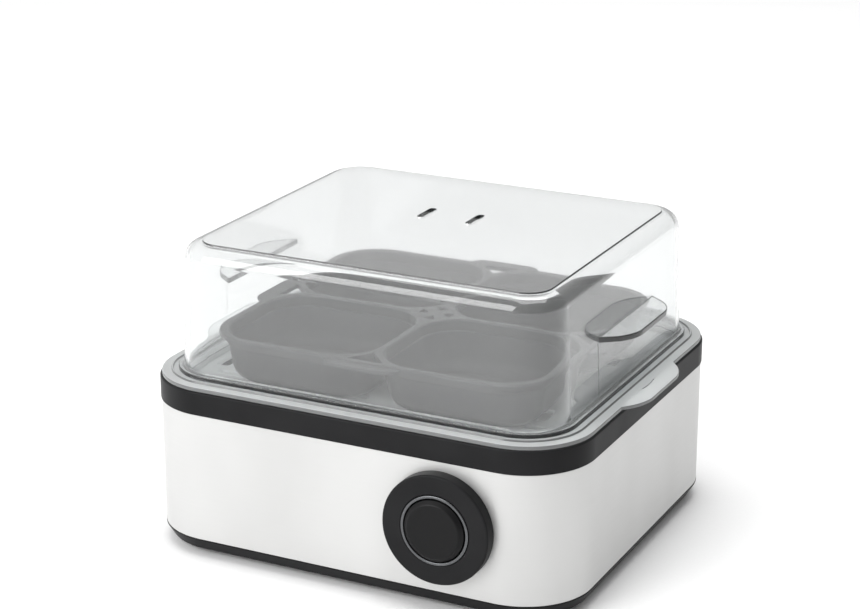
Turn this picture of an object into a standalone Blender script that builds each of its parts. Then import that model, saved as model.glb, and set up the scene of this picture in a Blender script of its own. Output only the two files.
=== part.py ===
"""A free-standing egg cooker: a steel-clad base with a heated water well, a clear egg tray,
a black poaching tray and a clear lid. Metres, +Z up, front towards -Y, origin under the middle."""

import math

import bmesh
import bpy
from mathutils import Matrix, Vector

# Clearances
TOUCH_GAP = 0.0003  # between pieces that rest on each other
SLIDE_GAP = 0.0006  # round pieces that slide or drop into each other

# Body outline
BODY_WIDTH = 0.240
BODY_DEPTH = 0.216
BODY_CORNER = 0.0368
CORNER_STEPS = 8
TURN_STEPS = 48

# Heights of the body's layers
FOOT_HEIGHT = 0.0025
COVER_HEIGHT = 0.0074
JACKET_HEIGHT = 0.0683
BAND_HEIGHT = 0.0122

# Bottom cover
COVER_WALL = 0.0022
COVER_TAPER = 0.0040
COVER_UPSTAND = 0.0060

# Steel jacket
JACKET_INSET = 0.0005
JACKET_WALL = 0.0008

# Top housing
RIM_WALL = 0.0027
RIM_DRAFT = 0.0005
LEDGE_DROP = 0.0083
LEDGE_WIDTH = 0.0080
WELL_DEPTH = 0.0310
WELL_DRAFT = 0.0022
HOUSING_WALL = 0.0022
HOUSING_SKIRT = 0.0065

# Screw posts, screws and feet
POST_FROM_SIDE = 0.0320
POST_RADIUS = 0.0048
POST_PILOT_DEPTH = 0.0140
SCREW_RADIUS = 0.0016
SCREW_HEAD_RADIUS = 0.0034
SCREW_HEAD_HEIGHT = 0.0022
SCREW_BITE = 0.0110
COVER_BOSS_RADIUS = 0.0062
COVER_BOSS_HEIGHT = 0.0085
FOOT_FROM_SIDE = 0.0200
FOOT_RADIUS = 0.0070
FOOT_RECESS = 0.0010

# Heating plate and what hangs under it
PLATE_RADIUS = 0.0680
PLATE_RIM_WIDTH = 0.0055
PLATE_RIM_HEIGHT = 0.0018
PLATE_THICKNESS = 0.0020
PLATE_LIFT = 0.0012
SEAL_THICKNESS = 0.0010
SPREADER_RADIUS = 0.0520
SPREADER_THICKNESS = 0.0030
ELEMENT_RING_RADIUS = 0.0400
ELEMENT_TUBE_RADIUS = 0.0035
ELEMENT_LEG_DROP = 0.0100
ELEMENT_GAP_ANGLE = 30
TERMINAL_SIZE = (0.0008, 0.0063, 0.0095)
THERMOSTAT_RADIUS = 0.0080
THERMOSTAT_HEIGHT = 0.0070
THERMOSTAT_BEHIND = 0.0220
FUSE_RADIUS = 0.0024
FUSE_LENGTH = 0.0220
FUSE_IN_FRONT = 0.0190
CLAMP_WIDTH = 0.0140
CLAMP_THICKNESS = 0.0015
CLAMP_CLEARANCE = 0.0014
CLAMP_POST_FROM_PLATE = 0.0080
CLAMP_POST_RADIUS = 0.0050

# Switch
SWITCH_FROM_SIDE = 0.0650
SWITCH_FROM_TOP = 0.0330  # below the steel's top edge
BEZEL_RADIUS = 0.0285
BEZEL_DEPTH = 0.0070
BEZEL_NECK_RADIUS = 0.0205
BEZEL_NECK_DEPTH = 0.0062
LIGHT_RING_RADIUS = 0.0182
LIGHT_RING_WIDTH = 0.0016
LIGHT_RING_PROUD = 0.0004
BUTTON_PROUD = 0.0026
BUTTON_EDGE = 0.0028
BUTTON_CAP_DEPTH = 0.0084
BUTTON_STEM_RADIUS = 0.0030
BUTTON_TRAVEL = 0.0030
SWITCH_BODY_SIZE = (0.0260, 0.0200, 0.0210)
LAMP_BOARD_THICKNESS = 0.0016
SPRING_RADIUS = 0.0050
SPRING_WIRE = 0.0005
SPRING_TURNS = 4

# Mains entry
GLAND_FROM_SIDE = 0.0600
GLAND_Z = 0.0280
GLAND_RADIUS = 0.0090
GLAND_NECK_RADIUS = 0.0068
GLAND_BORE = 0.0038
GLAND_NECK_DEPTH = 0.0070
TERMINAL_BLOCK_SIZE = (0.0300, 0.0160, 0.0120)
TERMINAL_BLOCK_BEHIND = 0.0620
WIRE_RADIUS = 0.0011

# Egg tray
TRAY_OVERHANG_GAP = 0.0010
TRAY_THICKNESS = 0.0020
TRAY_STEP_INSET = 0.0095
TRAY_STEP_DROP = 0.0061
TRAY_BEAD_INSET = 0.0046
TRAY_BEAD_WIDTH = 0.0018
TRAY_BEAD_HEIGHT = 0.0012
TRAY_TAB_REACH = 0.0090
TRAY_TAB_ROOT = 0.0760
TRAY_TAB_TIP = 0.0520
SEAT_RADIUS = 0.0210
SEAT_DEPTH = 0.0050
SEAT_SLOPE = 0.0080
SEAT_SIDE_MARGIN = 0.0127
SEAT_ROW_SHARE = 0.500  # of half the recess
SEAT_CORNER_SHARE = 0.702  # of the side seats' distance
SEAT_MIDDLE_SHARE = 0.580  # of the rows' distance
STEAM_ARC_WIDTH = 0.0034
STEAM_ARC_SPAN = 62
SIDE_SLOT_WIDTH = 0.0070
SIDE_SLOT_LENGTH = 0.0440
SIDE_SLOT_MARGIN = 0.0077
SIDE_SLOT_FIRST = 0.0090
SHORT_SLOT_LENGTH = 0.0160
SHORT_SLOT_GAP = 0.0075  # from the row slot beyond it
ROW_SLOT_WIDTH = 0.0045
ROW_SLOT_LENGTH = 0.0180
ROW_SLOT_BEYOND = 0.0140
ROW_SLOT_FROM_SEAT = 0.0080

# Poaching tray
CUP_SIDE_GAP = 0.01185  # from the rim to the lid's inner wall, left and right
CUP_END_GAP = 0.00885  # the same at the front and the back
CUP_HEIGHT = 0.0275
CUP_CORNER = 0.0220
CUP_WALL = 0.0014
CUP_TAPER = 0.0085
CUP_STEP = 0.0008
CUP_STEP_DROP = 0.0060
CUP_WEB = 0.0045
CUP_RIM = 0.0050
CUP_RIM_THICKNESS = 0.0022
CUP_TAB_REACH = 0.0070
CUP_TAB_ROOT = 0.0440
CUP_TAB_TIP = 0.0340
CUP_NOTCH_HALF = 0.0110
CUP_NOTCH_LENGTH = 0.0105

# Lid
LID_WALL = 0.0018
LID_FLARE = 0.0034
LID_FLARE_THICKNESS = 0.0020
LID_SKIRT = 0.0040
LID_HEIGHT = 0.0685
LID_DRAFT = 0.0022
LID_SHOULDER_DROP = 0.0065
LID_SHOULDER_INSET = 0.0085
LID_TOP_STEP = 0.0008
LID_HANDLE_HEIGHT = 0.0310
LID_HANDLE_THICKNESS = 0.0030
LID_HANDLE_REACH = 0.0150
LID_HANDLE_ROOT = 0.0740
LID_HANDLE_TIP = 0.0520
VENT_LENGTH = 0.0180
VENT_WIDTH = 0.0040
VENT_SPACING = 0.0280
VENT_BEHIND = 0.0160

# Levels worked out from the sizes above
JACKET_BOTTOM = FOOT_HEIGHT + COVER_HEIGHT + TOUCH_GAP
JACKET_TOP = JACKET_BOTTOM + JACKET_HEIGHT
RIM_TOP = JACKET_TOP + TOUCH_GAP + BAND_HEIGHT
LEDGE_Z = RIM_TOP - LEDGE_DROP
FLOOR_Z = RIM_TOP - WELL_DEPTH
FLOOR_UNDERSIDE = FLOOR_Z - HOUSING_WALL
COVER_FLOOR = FOOT_HEIGHT + COVER_WALL
PLATE_SEAT = FLOOR_Z + TOUCH_GAP + SEAL_THICKNESS + TOUCH_GAP
PLATE_UNDERSIDE = FLOOR_UNDERSIDE + PLATE_LIFT
SPREADER_TOP = PLATE_UNDERSIDE - TOUCH_GAP
SPREADER_UNDERSIDE = SPREADER_TOP - SPREADER_THICKNESS
ELEMENT_Z = SPREADER_UNDERSIDE - TOUCH_GAP - ELEMENT_TUBE_RADIUS
CLAMP_TOP = ELEMENT_Z - ELEMENT_TUBE_RADIUS - CLAMP_CLEARANCE
WELL_INSET = RIM_WALL + RIM_DRAFT + LEDGE_WIDTH
SWITCH_X = BODY_WIDTH / 2 - SWITCH_FROM_SIDE
SWITCH_Z = JACKET_TOP - SWITCH_FROM_TOP
GLAND_X = GLAND_FROM_SIDE - BODY_WIDTH / 2
JACKET_FRONT = BODY_DEPTH / 2 - JACKET_INSET
TRAY_Z = RIM_TOP + TOUCH_GAP
TRAY_TOP = TRAY_Z + TRAY_THICKNESS
TRAY_FLOOR = TRAY_TOP - TRAY_THICKNESS - TRAY_STEP_DROP
CUP_BOTTOM = TRAY_FLOOR + TOUCH_GAP
CUP_TOP = CUP_BOTTOM + CUP_HEIGHT
LID_Z = TRAY_TOP + TOUCH_GAP

BODY = (BODY_WIDTH, BODY_DEPTH, BODY_CORNER)
TRAY = (
    BODY_WIDTH - 2 * TRAY_OVERHANG_GAP,
    BODY_DEPTH - 2 * TRAY_OVERHANG_GAP,
    BODY_CORNER - TRAY_OVERHANG_GAP,
)
TRAY_RECESS = TRAY_STEP_INSET + TRAY_THICKNESS
SKIRT_INSET = TRAY_RECESS + SLIDE_GAP
LID_INSET = SKIRT_INSET - LID_FLARE
LID = (TRAY[0] - 2 * LID_INSET, TRAY[1] - 2 * LID_INSET, TRAY[2] - LID_INSET)
LID_INSIDE = (LID[0] - 2 * (LID_FLARE + LID_WALL), LID[1] - 2 * (LID_FLARE + LID_WALL))
CUP_WIDTH = (LID_INSIDE[0] - 2 * CUP_SIDE_GAP - CUP_WEB) / 2 - CUP_RIM
CUP_DEPTH = (LID_INSIDE[1] - 2 * CUP_END_GAP - CUP_WEB) / 2 - CUP_RIM


def clear_scene():
    for item in list(bpy.data.objects):
        bpy.data.objects.remove(item)


def new_collection(name):
    group = bpy.data.collections.new(name)
    bpy.context.scene.collection.children.link(group)
    return group


def new_material(name, colour, roughness, metallic=0.0, transmission=0.0):
    material = bpy.data.materials.new(name)
    material.use_nodes = True
    shader = material.node_tree.nodes["Principled BSDF"]
    shader.inputs["Base Color"].default_value = (*colour, 1)
    shader.inputs["Roughness"].default_value = roughness
    shader.inputs["Metallic"].default_value = metallic
    shader.inputs["Transmission Weight"].default_value = transmission
    material.diffuse_color = (*colour, 1)
    return material


clear_scene()
PARTS = new_collection("egg_cooker")
HELPERS = new_collection("cutters")

BLACK_PLASTIC = new_material("black_plastic", (0.03, 0.03, 0.03), 0.45)
BLACK_COATING = new_material("black_coating", (0.02, 0.02, 0.02), 0.5)
CLEAR_PLASTIC = new_material("clear_plastic", (0.9, 0.92, 0.93), 0.08, transmission=0.9)
BRUSHED_STEEL = new_material("brushed_steel", (0.75, 0.75, 0.76), 0.35, metallic=1.0)
GREY_PLATE = new_material("grey_plate", (0.55, 0.55, 0.55), 0.4, metallic=0.6)
ALUMINIUM = new_material("aluminium", (0.7, 0.7, 0.7), 0.4, metallic=1.0)
PLATED_STEEL = new_material("plated_steel", (0.6, 0.6, 0.62), 0.3, metallic=1.0)
RUBBER = new_material("rubber", (0.05, 0.05, 0.05), 0.9)
SILICONE = new_material("silicone", (0.5, 0.12, 0.08), 0.7)
CERAMIC = new_material("ceramic", (0.8, 0.78, 0.72), 0.6)
BOARD_GREEN = new_material("board_green", (0.05, 0.25, 0.1), 0.5)
SILVER_PLASTIC = new_material("silver_plastic", (0.6, 0.6, 0.6), 0.3)
WIRE_JACKET = new_material("wire_jacket", (0.6, 0.5, 0.1), 0.5)


# Building tools


def place(mesh, name, material, group=None):
    """An object for the mesh, in the collection of parts unless another is given."""
    item = bpy.data.objects.new(name, mesh)
    (group or PARTS).objects.link(item)
    mesh.materials.append(material)
    mesh.shade_smooth()
    mesh.set_sharp_from_angle(angle=math.radians(30))
    return item


def finish(bm, name, material, group=None):
    """The object made from bm, with its faces turned outwards."""
    bmesh.ops.recalc_face_normals(bm, faces=bm.faces)
    mesh = bpy.data.meshes.new(name)
    bm.to_mesh(mesh)
    bm.free()
    return place(mesh, name, material, group)


def helper(bm, name):
    """A body that cuts or joins another, which isn't a piece of the object."""
    item = finish(bm, name, BLACK_PLASTIC, HELPERS)
    item.hide_render = True
    item.display_type = "WIRE"
    return item


def boolean(item, other, operation):
    modifier = item.modifiers.new(other.name, "BOOLEAN")
    modifier.operation = operation
    modifier.object = other


def cut(item, bm, name):
    boolean(item, helper(bm, name), "DIFFERENCE")


def join(item, bm, name):
    boolean(item, helper(bm, name), "UNION")


def rounded_outline(width, depth, radius, steps=CORNER_STEPS):
    """Points of a rectangle with round corners, anticlockwise from its front right corner."""
    points = []
    for turn, (side_x, side_y) in enumerate(((1, -1), (1, 1), (-1, 1), (-1, -1))):
        centre = Vector((side_x * (width / 2 - radius), side_y * (depth / 2 - radius)))
        for step in range(steps + 1):
            angle = math.radians(90 * (turn - 1 + step / steps))
            points.append(centre + radius * Vector((math.cos(angle), math.sin(angle))))
    return points


def loft(bm, outline, profile, centre=(0, 0), ring=False, steps=CORNER_STEPS):
    """Level sections of a rounded rectangle, one for each (inset, z) of the profile, walled together.
    The first and last are capped, or walled to each other for a ring."""
    width, depth, radius = outline
    sections = []
    for inset, z in profile:
        points = rounded_outline(width - 2 * inset, depth - 2 * inset, radius - inset, steps)
        sections.append([bm.verts.new((x + centre[0], y + centre[1], z)) for x, y in points])
    pairs = list(zip(sections, sections[1:]))
    if ring:
        pairs.append((sections[-1], sections[0]))
    else:
        bm.faces.new(sections[0])
        bm.faces.new(sections[-1])
    for low, high in pairs:
        for i in range(len(low)):
            j = (i + 1) % len(low)
            bm.faces.new((low[i], low[j], high[j], high[i]))
    return bm


def lofted(outline, profile, **options):
    return loft(bmesh.new(), outline, profile, **options)


def box(bm, size, centre):
    matrix = Matrix.Translation(centre) @ Matrix.Diagonal((*size, 1))
    bmesh.ops.create_cube(bm, size=1, matrix=matrix)


def cylinder(bm, radius, low, high, centre, top_radius=None, segments=24):
    """An upright cylinder or cone from level low to level high."""
    bmesh.ops.create_cone(
        bm,
        cap_ends=True,
        segments=segments,
        radius1=radius,
        radius2=radius if top_radius is None else top_radius,
        depth=high - low,
        matrix=Matrix.Translation((*centre, (low + high) / 2)),
    )


def prism(bm, points, low, high, corner=0.0, corner_steps=4):
    """A flat outline raised from level low to level high, its upright edges rounded."""
    face = bm.faces.new([bm.verts.new((x, y, low)) for x, y in points])
    raised = bmesh.ops.extrude_face_region(bm, geom=[face])["geom"]
    tops = [part for part in raised if isinstance(part, bmesh.types.BMVert)]
    bmesh.ops.translate(bm, verts=tops, vec=(0, 0, high - low))
    if corner:
        own = set(tops) | set(face.verts)
        uprights = [edge for edge in bm.edges if set(edge.verts) <= own]
        uprights = [edge for edge in uprights if abs(edge.verts[0].co.z - edge.verts[1].co.z) > 1e-6]
        bmesh.ops.bevel(
            bm, geom=uprights, offset=corner, segments=corner_steps, affect="EDGES", profile=0.5
        )


def turned(name, profile, material, steps=TURN_STEPS, ring=False):
    """A turned body about Z. Its (radius, z) profile runs down the outer side."""
    bm = bmesh.new()
    points = [bm.verts.new((radius, 0, z)) for radius, z in profile]
    for first, second in zip(points, points[1:] + (points[:1] if ring else [])):
        bm.edges.new((first, second))
    mesh = bpy.data.meshes.new(name)
    bm.to_mesh(mesh)
    bm.free()
    item = place(mesh, name, material)
    screw = item.modifiers.new("turn", "SCREW")
    screw.steps = steps
    screw.render_steps = steps
    screw.use_merge_vertices = True
    screw.merge_threshold = 0.00001
    return item


def tube(name, points, radius, material, bevel_resolution=1):
    """A wire or bent tube through the points, with closed ends."""
    curve = bpy.data.curves.new(name, "CURVE")
    curve.dimensions = "3D"
    curve.bevel_depth = radius
    curve.bevel_resolution = bevel_resolution
    curve.use_fill_caps = True
    spline = curve.splines.new("POLY")
    spline.points.add(len(points) - 1)
    for slot, point in zip(spline.points, points):
        slot.co = (*point, 1)
    curve.materials.append(material)
    item = bpy.data.objects.new(name, curve)
    PARTS.objects.link(item)
    return item


def smooth_route(route, steps=5):
    """Points on a smooth curve through those of the route."""
    knots = [Vector(point) for point in route]
    knots = [2 * knots[0] - knots[1], *knots, 2 * knots[-1] - knots[-2]]
    points = []
    for before, start, end, after in zip(knots, knots[1:], knots[2:], knots[3:]):
        for step in range(steps):
            t = step / steps
            points.append(
                0.5
                * (
                    2 * start
                    + (end - before) * t
                    + (2 * before - 5 * start + 4 * end - after) * t**2
                    + (3 * start - before - 3 * end + after) * t**3
                )
            )
    return points + [knots[-2]]


def four_corners(width, depth, from_side):
    """The four places that far in from the sides, with the words for them."""
    x, y = width / 2 - from_side, depth / 2 - from_side
    return {
        "front_left": (-x, -y),
        "front_right": (x, -y),
        "rear_left": (-x, y),
        "rear_right": (x, y),
    }


def towards_front(item, y):
    """Turns a body made about Z to point forwards on the switch's axis, its own zero at y."""
    item.rotation_euler = (math.radians(90), 0, 0)
    item.location = (SWITCH_X, y, SWITCH_Z)


POSTS = four_corners(BODY_WIDTH, BODY_DEPTH, POST_FROM_SIDE)
FEET = four_corners(BODY_WIDTH, BODY_DEPTH, FOOT_FROM_SIDE)
CLAMP_POST_X = PLATE_RADIUS + CLAMP_POST_FROM_PLATE
PLATE_HOLE = PLATE_RADIUS - PLATE_RIM_WIDTH
POST_BOTTOM = COVER_FLOOR + COVER_BOSS_HEIGHT + TOUCH_GAP


# Body shells


def make_bottom_cover():
    rim = FOOT_HEIGHT + COVER_HEIGHT
    locate = JACKET_INSET + JACKET_WALL + TOUCH_GAP
    inside = locate + COVER_WALL
    profile = [
        (COVER_TAPER + 0.0012, FOOT_HEIGHT),
        (COVER_TAPER + 0.0003, FOOT_HEIGHT + 0.0004),
        (COVER_TAPER - 0.0006, FOOT_HEIGHT + 0.0015),
        (0.0004, rim - 0.0006),
        (0.0004, rim),
        (locate, rim),
        (locate, rim + COVER_UPSTAND),
        (inside, rim + COVER_UPSTAND),
        (inside, rim),
        (COVER_TAPER + COVER_WALL, COVER_FLOOR + 0.0010),
        (COVER_TAPER + COVER_WALL + 0.0012, COVER_FLOOR),
    ]
    cover = finish(lofted(BODY, profile), "bottom_cover", BLACK_PLASTIC)

    bosses = bmesh.new()
    for place_xy in POSTS.values():
        top = COVER_FLOOR + COVER_BOSS_HEIGHT
        cylinder(bosses, COVER_BOSS_RADIUS, COVER_FLOOR - 0.0010, top, place_xy)
    join(cover, bosses, "cover_bosses")

    recess_top = FOOT_HEIGHT + SCREW_HEAD_HEIGHT + 0.0012
    recesses = bmesh.new()
    for place_xy in POSTS.values():
        cylinder(recesses, SCREW_HEAD_RADIUS + TOUCH_GAP, -0.001, recess_top, place_xy)
    for place_xy in FEET.values():
        cylinder(recesses, FOOT_RADIUS + TOUCH_GAP, -0.001, FOOT_HEIGHT + FOOT_RECESS, place_xy)
    cut(cover, recesses, "head_and_foot_recesses")

    openings = bmesh.new()
    for place_xy in POSTS.values():
        hole = SCREW_RADIUS + TOUCH_GAP
        cylinder(openings, hole, recess_top - 0.001, POST_BOTTOM + 0.001, place_xy, segments=12)
    slot_length, slot_width, slot_pitch = 0.030, 0.003, 0.009
    for row in (-1, 1):
        for step in range(-3, 4):
            slot = (slot_width, slot_length, 4 * COVER_WALL)
            box(openings, slot, (step * slot_pitch, row * 0.040, FOOT_HEIGHT))
    cut(cover, openings, "screw_holes_and_air_slots")
    return cover


def make_steel_jacket():
    profile = [
        (JACKET_INSET, JACKET_BOTTOM),
        (JACKET_INSET, JACKET_TOP),
        (JACKET_INSET + JACKET_WALL, JACKET_TOP),
        (JACKET_INSET + JACKET_WALL, JACKET_BOTTOM),
    ]
    jacket = finish(lofted(BODY, profile, ring=True), "steel_jacket", BRUSHED_STEEL)
    holes = bmesh.new()
    for radius, x, y, z in (
        (BEZEL_NECK_RADIUS + TOUCH_GAP, SWITCH_X, -JACKET_FRONT, SWITCH_Z),
        (GLAND_NECK_RADIUS + TOUCH_GAP, GLAND_X, JACKET_FRONT, GLAND_Z),
    ):
        across = Matrix.Translation((x, y, z)) @ Matrix.Rotation(math.radians(90), 4, "X")
        bmesh.ops.create_cone(
            holes,
            cap_ends=True,
            segments=TURN_STEPS,
            radius1=radius,
            radius2=radius,
            depth=8 * JACKET_WALL,
            matrix=across,
        )
    cut(jacket, holes, "switch_and_gland_holes")
    return jacket


def make_top_housing():
    band_bottom = JACKET_TOP + TOUCH_GAP
    behind = JACKET_INSET + JACKET_WALL + TOUCH_GAP
    skirt = behind + HOUSING_WALL
    foot = WELL_INSET + WELL_DRAFT
    profile = [
        (foot + 0.0016, FLOOR_UNDERSIDE),
        (foot - HOUSING_WALL + 0.0020, FLOOR_UNDERSIDE + 0.0006),
        (foot - HOUSING_WALL, FLOOR_UNDERSIDE + 0.0028),
        (WELL_INSET - HOUSING_WALL, LEDGE_Z - HOUSING_WALL),
        (skirt, LEDGE_Z - HOUSING_WALL),
        (skirt, band_bottom - HOUSING_SKIRT),
        (behind, band_bottom - HOUSING_SKIRT),
        (behind, band_bottom),
        (0, band_bottom),
        (0, RIM_TOP - 0.0007),
        (0.0007, RIM_TOP),
        (RIM_WALL - 0.0004, RIM_TOP),
        (RIM_WALL, RIM_TOP - 0.0004),
        (RIM_WALL + RIM_DRAFT, LEDGE_Z),
        (WELL_INSET - 0.0006, LEDGE_Z),
        (WELL_INSET, LEDGE_Z - 0.0006),
        (foot, FLOOR_Z + 0.0018),
        (foot + 0.0018, FLOOR_Z),
    ]
    housing = finish(lofted(BODY, profile), "top_housing", BLACK_PLASTIC)

    posts = bmesh.new()
    for place_xy in POSTS.values():
        cylinder(posts, POST_RADIUS, POST_BOTTOM, FLOOR_UNDERSIDE + 0.001, place_xy)
    for side in (-1, 1):
        low = CLAMP_TOP + TOUCH_GAP
        cylinder(posts, CLAMP_POST_RADIUS, low, FLOOR_UNDERSIDE + 0.001, (side * CLAMP_POST_X, 0))
    join(housing, posts, "housing_posts")

    pilots = bmesh.new()
    hole = SCREW_RADIUS + TOUCH_GAP
    for place_xy in POSTS.values():
        deep = POST_BOTTOM + POST_PILOT_DEPTH
        cylinder(pilots, hole, POST_BOTTOM - 0.001, deep, place_xy, segments=12)
    for side in (-1, 1):
        deep = CLAMP_TOP + 0.0070
        cylinder(pilots, hole, CLAMP_TOP - 0.001, deep, (side * CLAMP_POST_X, 0), segments=12)
    cylinder(pilots, PLATE_HOLE, FLOOR_UNDERSIDE - 0.002, FLOOR_Z + 0.002, (0, 0), segments=64)
    cut(housing, pilots, "pilot_holes_and_plate_opening")
    return housing


def make_feet():
    for name, (x, y) in FEET.items():
        top = FOOT_HEIGHT + FOOT_RECESS - TOUCH_GAP
        profile = [
            (0, top),
            (FOOT_RADIUS, top),
            (FOOT_RADIUS, 0.0008),
            (FOOT_RADIUS - 0.0008, 0),
            (0, 0),
        ]
        foot = turned(f"foot_{name}", profile, RUBBER, steps=24)
        foot.location = (x, y, 0)


def make_screw(name, x, y, head_low, reach):
    """A pan-head screw standing head down."""
    neck = head_low + SCREW_HEAD_HEIGHT
    profile = [
        (0, neck + reach),
        (SCREW_RADIUS * 0.6, neck + reach),
        (SCREW_RADIUS, neck + reach - 0.0015),
        (SCREW_RADIUS, neck),
        (SCREW_HEAD_RADIUS, neck),
        (SCREW_HEAD_RADIUS, head_low + 0.0008),
        (SCREW_HEAD_RADIUS - 0.0012, head_low),
        (0, head_low),
    ]
    screw = turned(name, profile, PLATED_STEEL, steps=16)
    screw.location = (x, y, 0)


def make_cover_screws():
    head_low = FOOT_HEIGHT + 0.0012 - TOUCH_GAP
    reach = POST_BOTTOM - head_low - SCREW_HEAD_HEIGHT + SCREW_BITE
    for name, (x, y) in POSTS.items():
        make_screw(f"cover_screw_{name}", x, y, head_low, reach)


# Heating group, hung under the floor of the well


def make_heating_plate():
    rim_top = PLATE_SEAT + PLATE_RIM_HEIGHT
    inner = PLATE_HOLE - 0.0012
    face = PLATE_UNDERSIDE + PLATE_THICKNESS
    profile = [
        (0, face),
        (inner - PLATE_THICKNESS, face + 0.0002),
        (inner - 0.0006, rim_top - 0.0003),
        (inner + 0.0006, rim_top),
        (PLATE_RADIUS - 0.0008, rim_top),
        (PLATE_RADIUS, rim_top - 0.0008),
        (PLATE_RADIUS, PLATE_SEAT),
        (inner + 0.0004, PLATE_SEAT),
        (inner, PLATE_SEAT - 0.0004),
        (inner, PLATE_UNDERSIDE + 0.0006),
        (inner - 0.0006, PLATE_UNDERSIDE),
        (0, PLATE_UNDERSIDE),
    ]
    turned("heating_plate", profile, GREY_PLATE, steps=64)
    seal_low = FLOOR_Z + TOUCH_GAP
    seal = [
        (PLATE_RADIUS - 0.0008, seal_low + SEAL_THICKNESS),
        (PLATE_RADIUS - 0.0008, seal_low),
        (PLATE_HOLE + 0.0006, seal_low),
        (PLATE_HOLE + 0.0006, seal_low + SEAL_THICKNESS),
    ]
    turned("plate_seal", seal, SILICONE, steps=TURN_STEPS, ring=True)


def make_heat_spreader():
    bm = bmesh.new()
    cylinder(bm, SPREADER_RADIUS, SPREADER_UNDERSIDE, SPREADER_TOP, (0, 0), segments=TURN_STEPS)
    finish(bm, "heat_spreader", ALUMINIUM)


def make_heating_element():
    half_gap = ELEMENT_GAP_ANGLE / 2
    start, end = math.radians(-90 + half_gap), math.radians(270 - half_gap)
    ring = []
    ring_steps = 26
    for step in range(ring_steps + 1):
        angle = start + (end - start) * step / ring_steps
        x, y = ELEMENT_RING_RADIUS * math.cos(angle), ELEMENT_RING_RADIUS * math.sin(angle)
        ring.append(Vector((x, y, ELEMENT_Z)))
    bend = ELEMENT_TUBE_RADIUS * 1.5
    legs = []
    for tip in (ring[0], ring[-1]):
        inward = -math.copysign(1, tip.x)
        near = tip + Vector((inward * bend * 0.6, 0, -bend * 0.4))
        low = tip + Vector((inward * bend, 0, -bend))
        legs.append([near, low, low - Vector((0, 0, ELEMENT_LEG_DROP))])
    points = legs[0][::-1] + ring + legs[1]
    tube("heating_element", points, ELEMENT_TUBE_RADIUS, PLATED_STEEL, bevel_resolution=2)
    for name, leg in (("right", legs[0]), ("left", legs[1])):
        width, depth, height = TERMINAL_SIZE
        bm = bmesh.new()
        low = leg[-1] - Vector((0, 0, TOUCH_GAP + height / 2))
        box(bm, (width, depth, height), low)
        finish(bm, f"element_terminal_{name}", PLATED_STEEL)
    return legs


def make_thermostat():
    top = SPREADER_UNDERSIDE - TOUCH_GAP
    profile = [
        (0, top),
        (THERMOSTAT_RADIUS, top),
        (THERMOSTAT_RADIUS, top - 0.0020),
        (THERMOSTAT_RADIUS - 0.0010, top - 0.0020),
        (THERMOSTAT_RADIUS - 0.0010, top - THERMOSTAT_HEIGHT),
        (0, top - THERMOSTAT_HEIGHT),
    ]
    thermostat = turned("thermostat", profile, CERAMIC, steps=24)
    thermostat.location = (0, THERMOSTAT_BEHIND, 0)

    z = SPREADER_UNDERSIDE - TOUCH_GAP - FUSE_RADIUS
    half = FUSE_LENGTH / 2
    ends = [(-half, -FUSE_IN_FRONT, z), (half, -FUSE_IN_FRONT, z)]
    tube("thermal_fuse", ends, FUSE_RADIUS, CERAMIC, bevel_resolution=2)


def make_plate_clamp():
    """A strap that rises in the middle to press the spreader up against the plate."""
    low = CLAMP_TOP - CLAMP_THICKNESS
    high = SPREADER_UNDERSIDE - TOUCH_GAP - CLAMP_THICKNESS
    foot_x, knee_x = 0.0300, 0.0200
    end_x = CLAMP_POST_X + CLAMP_POST_RADIUS
    path = [(-end_x, low), (-foot_x, low), (-knee_x, high), (knee_x, high), (foot_x, low), (end_x, low)]
    outline = path + [(x, z + CLAMP_THICKNESS) for x, z in reversed(path)]
    bm = bmesh.new()
    face = bm.faces.new([bm.verts.new((x, -CLAMP_WIDTH / 2, z)) for x, z in outline])
    raised = bmesh.ops.extrude_face_region(bm, geom=[face])["geom"]
    tops = [part for part in raised if isinstance(part, bmesh.types.BMVert)]
    bmesh.ops.translate(bm, verts=tops, vec=(0, CLAMP_WIDTH, 0))
    clamp = finish(bm, "plate_clamp", PLATED_STEEL)
    holes = bmesh.new()
    for side in (-1, 1):
        centre = (side * CLAMP_POST_X, 0)
        cylinder(holes, SCREW_RADIUS + TOUCH_GAP, low - 0.002, low + 0.004, centre, segments=12)
    cut(clamp, holes, "clamp_holes")
    head_low = low - TOUCH_GAP - SCREW_HEAD_HEIGHT
    for name, side in (("left", -1), ("right", 1)):
        make_screw(f"clamp_screw_{name}", side * CLAMP_POST_X, 0, head_low, 0.0060)


# Switch, turned about its own axis with its front up, then stood on the front face


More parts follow.
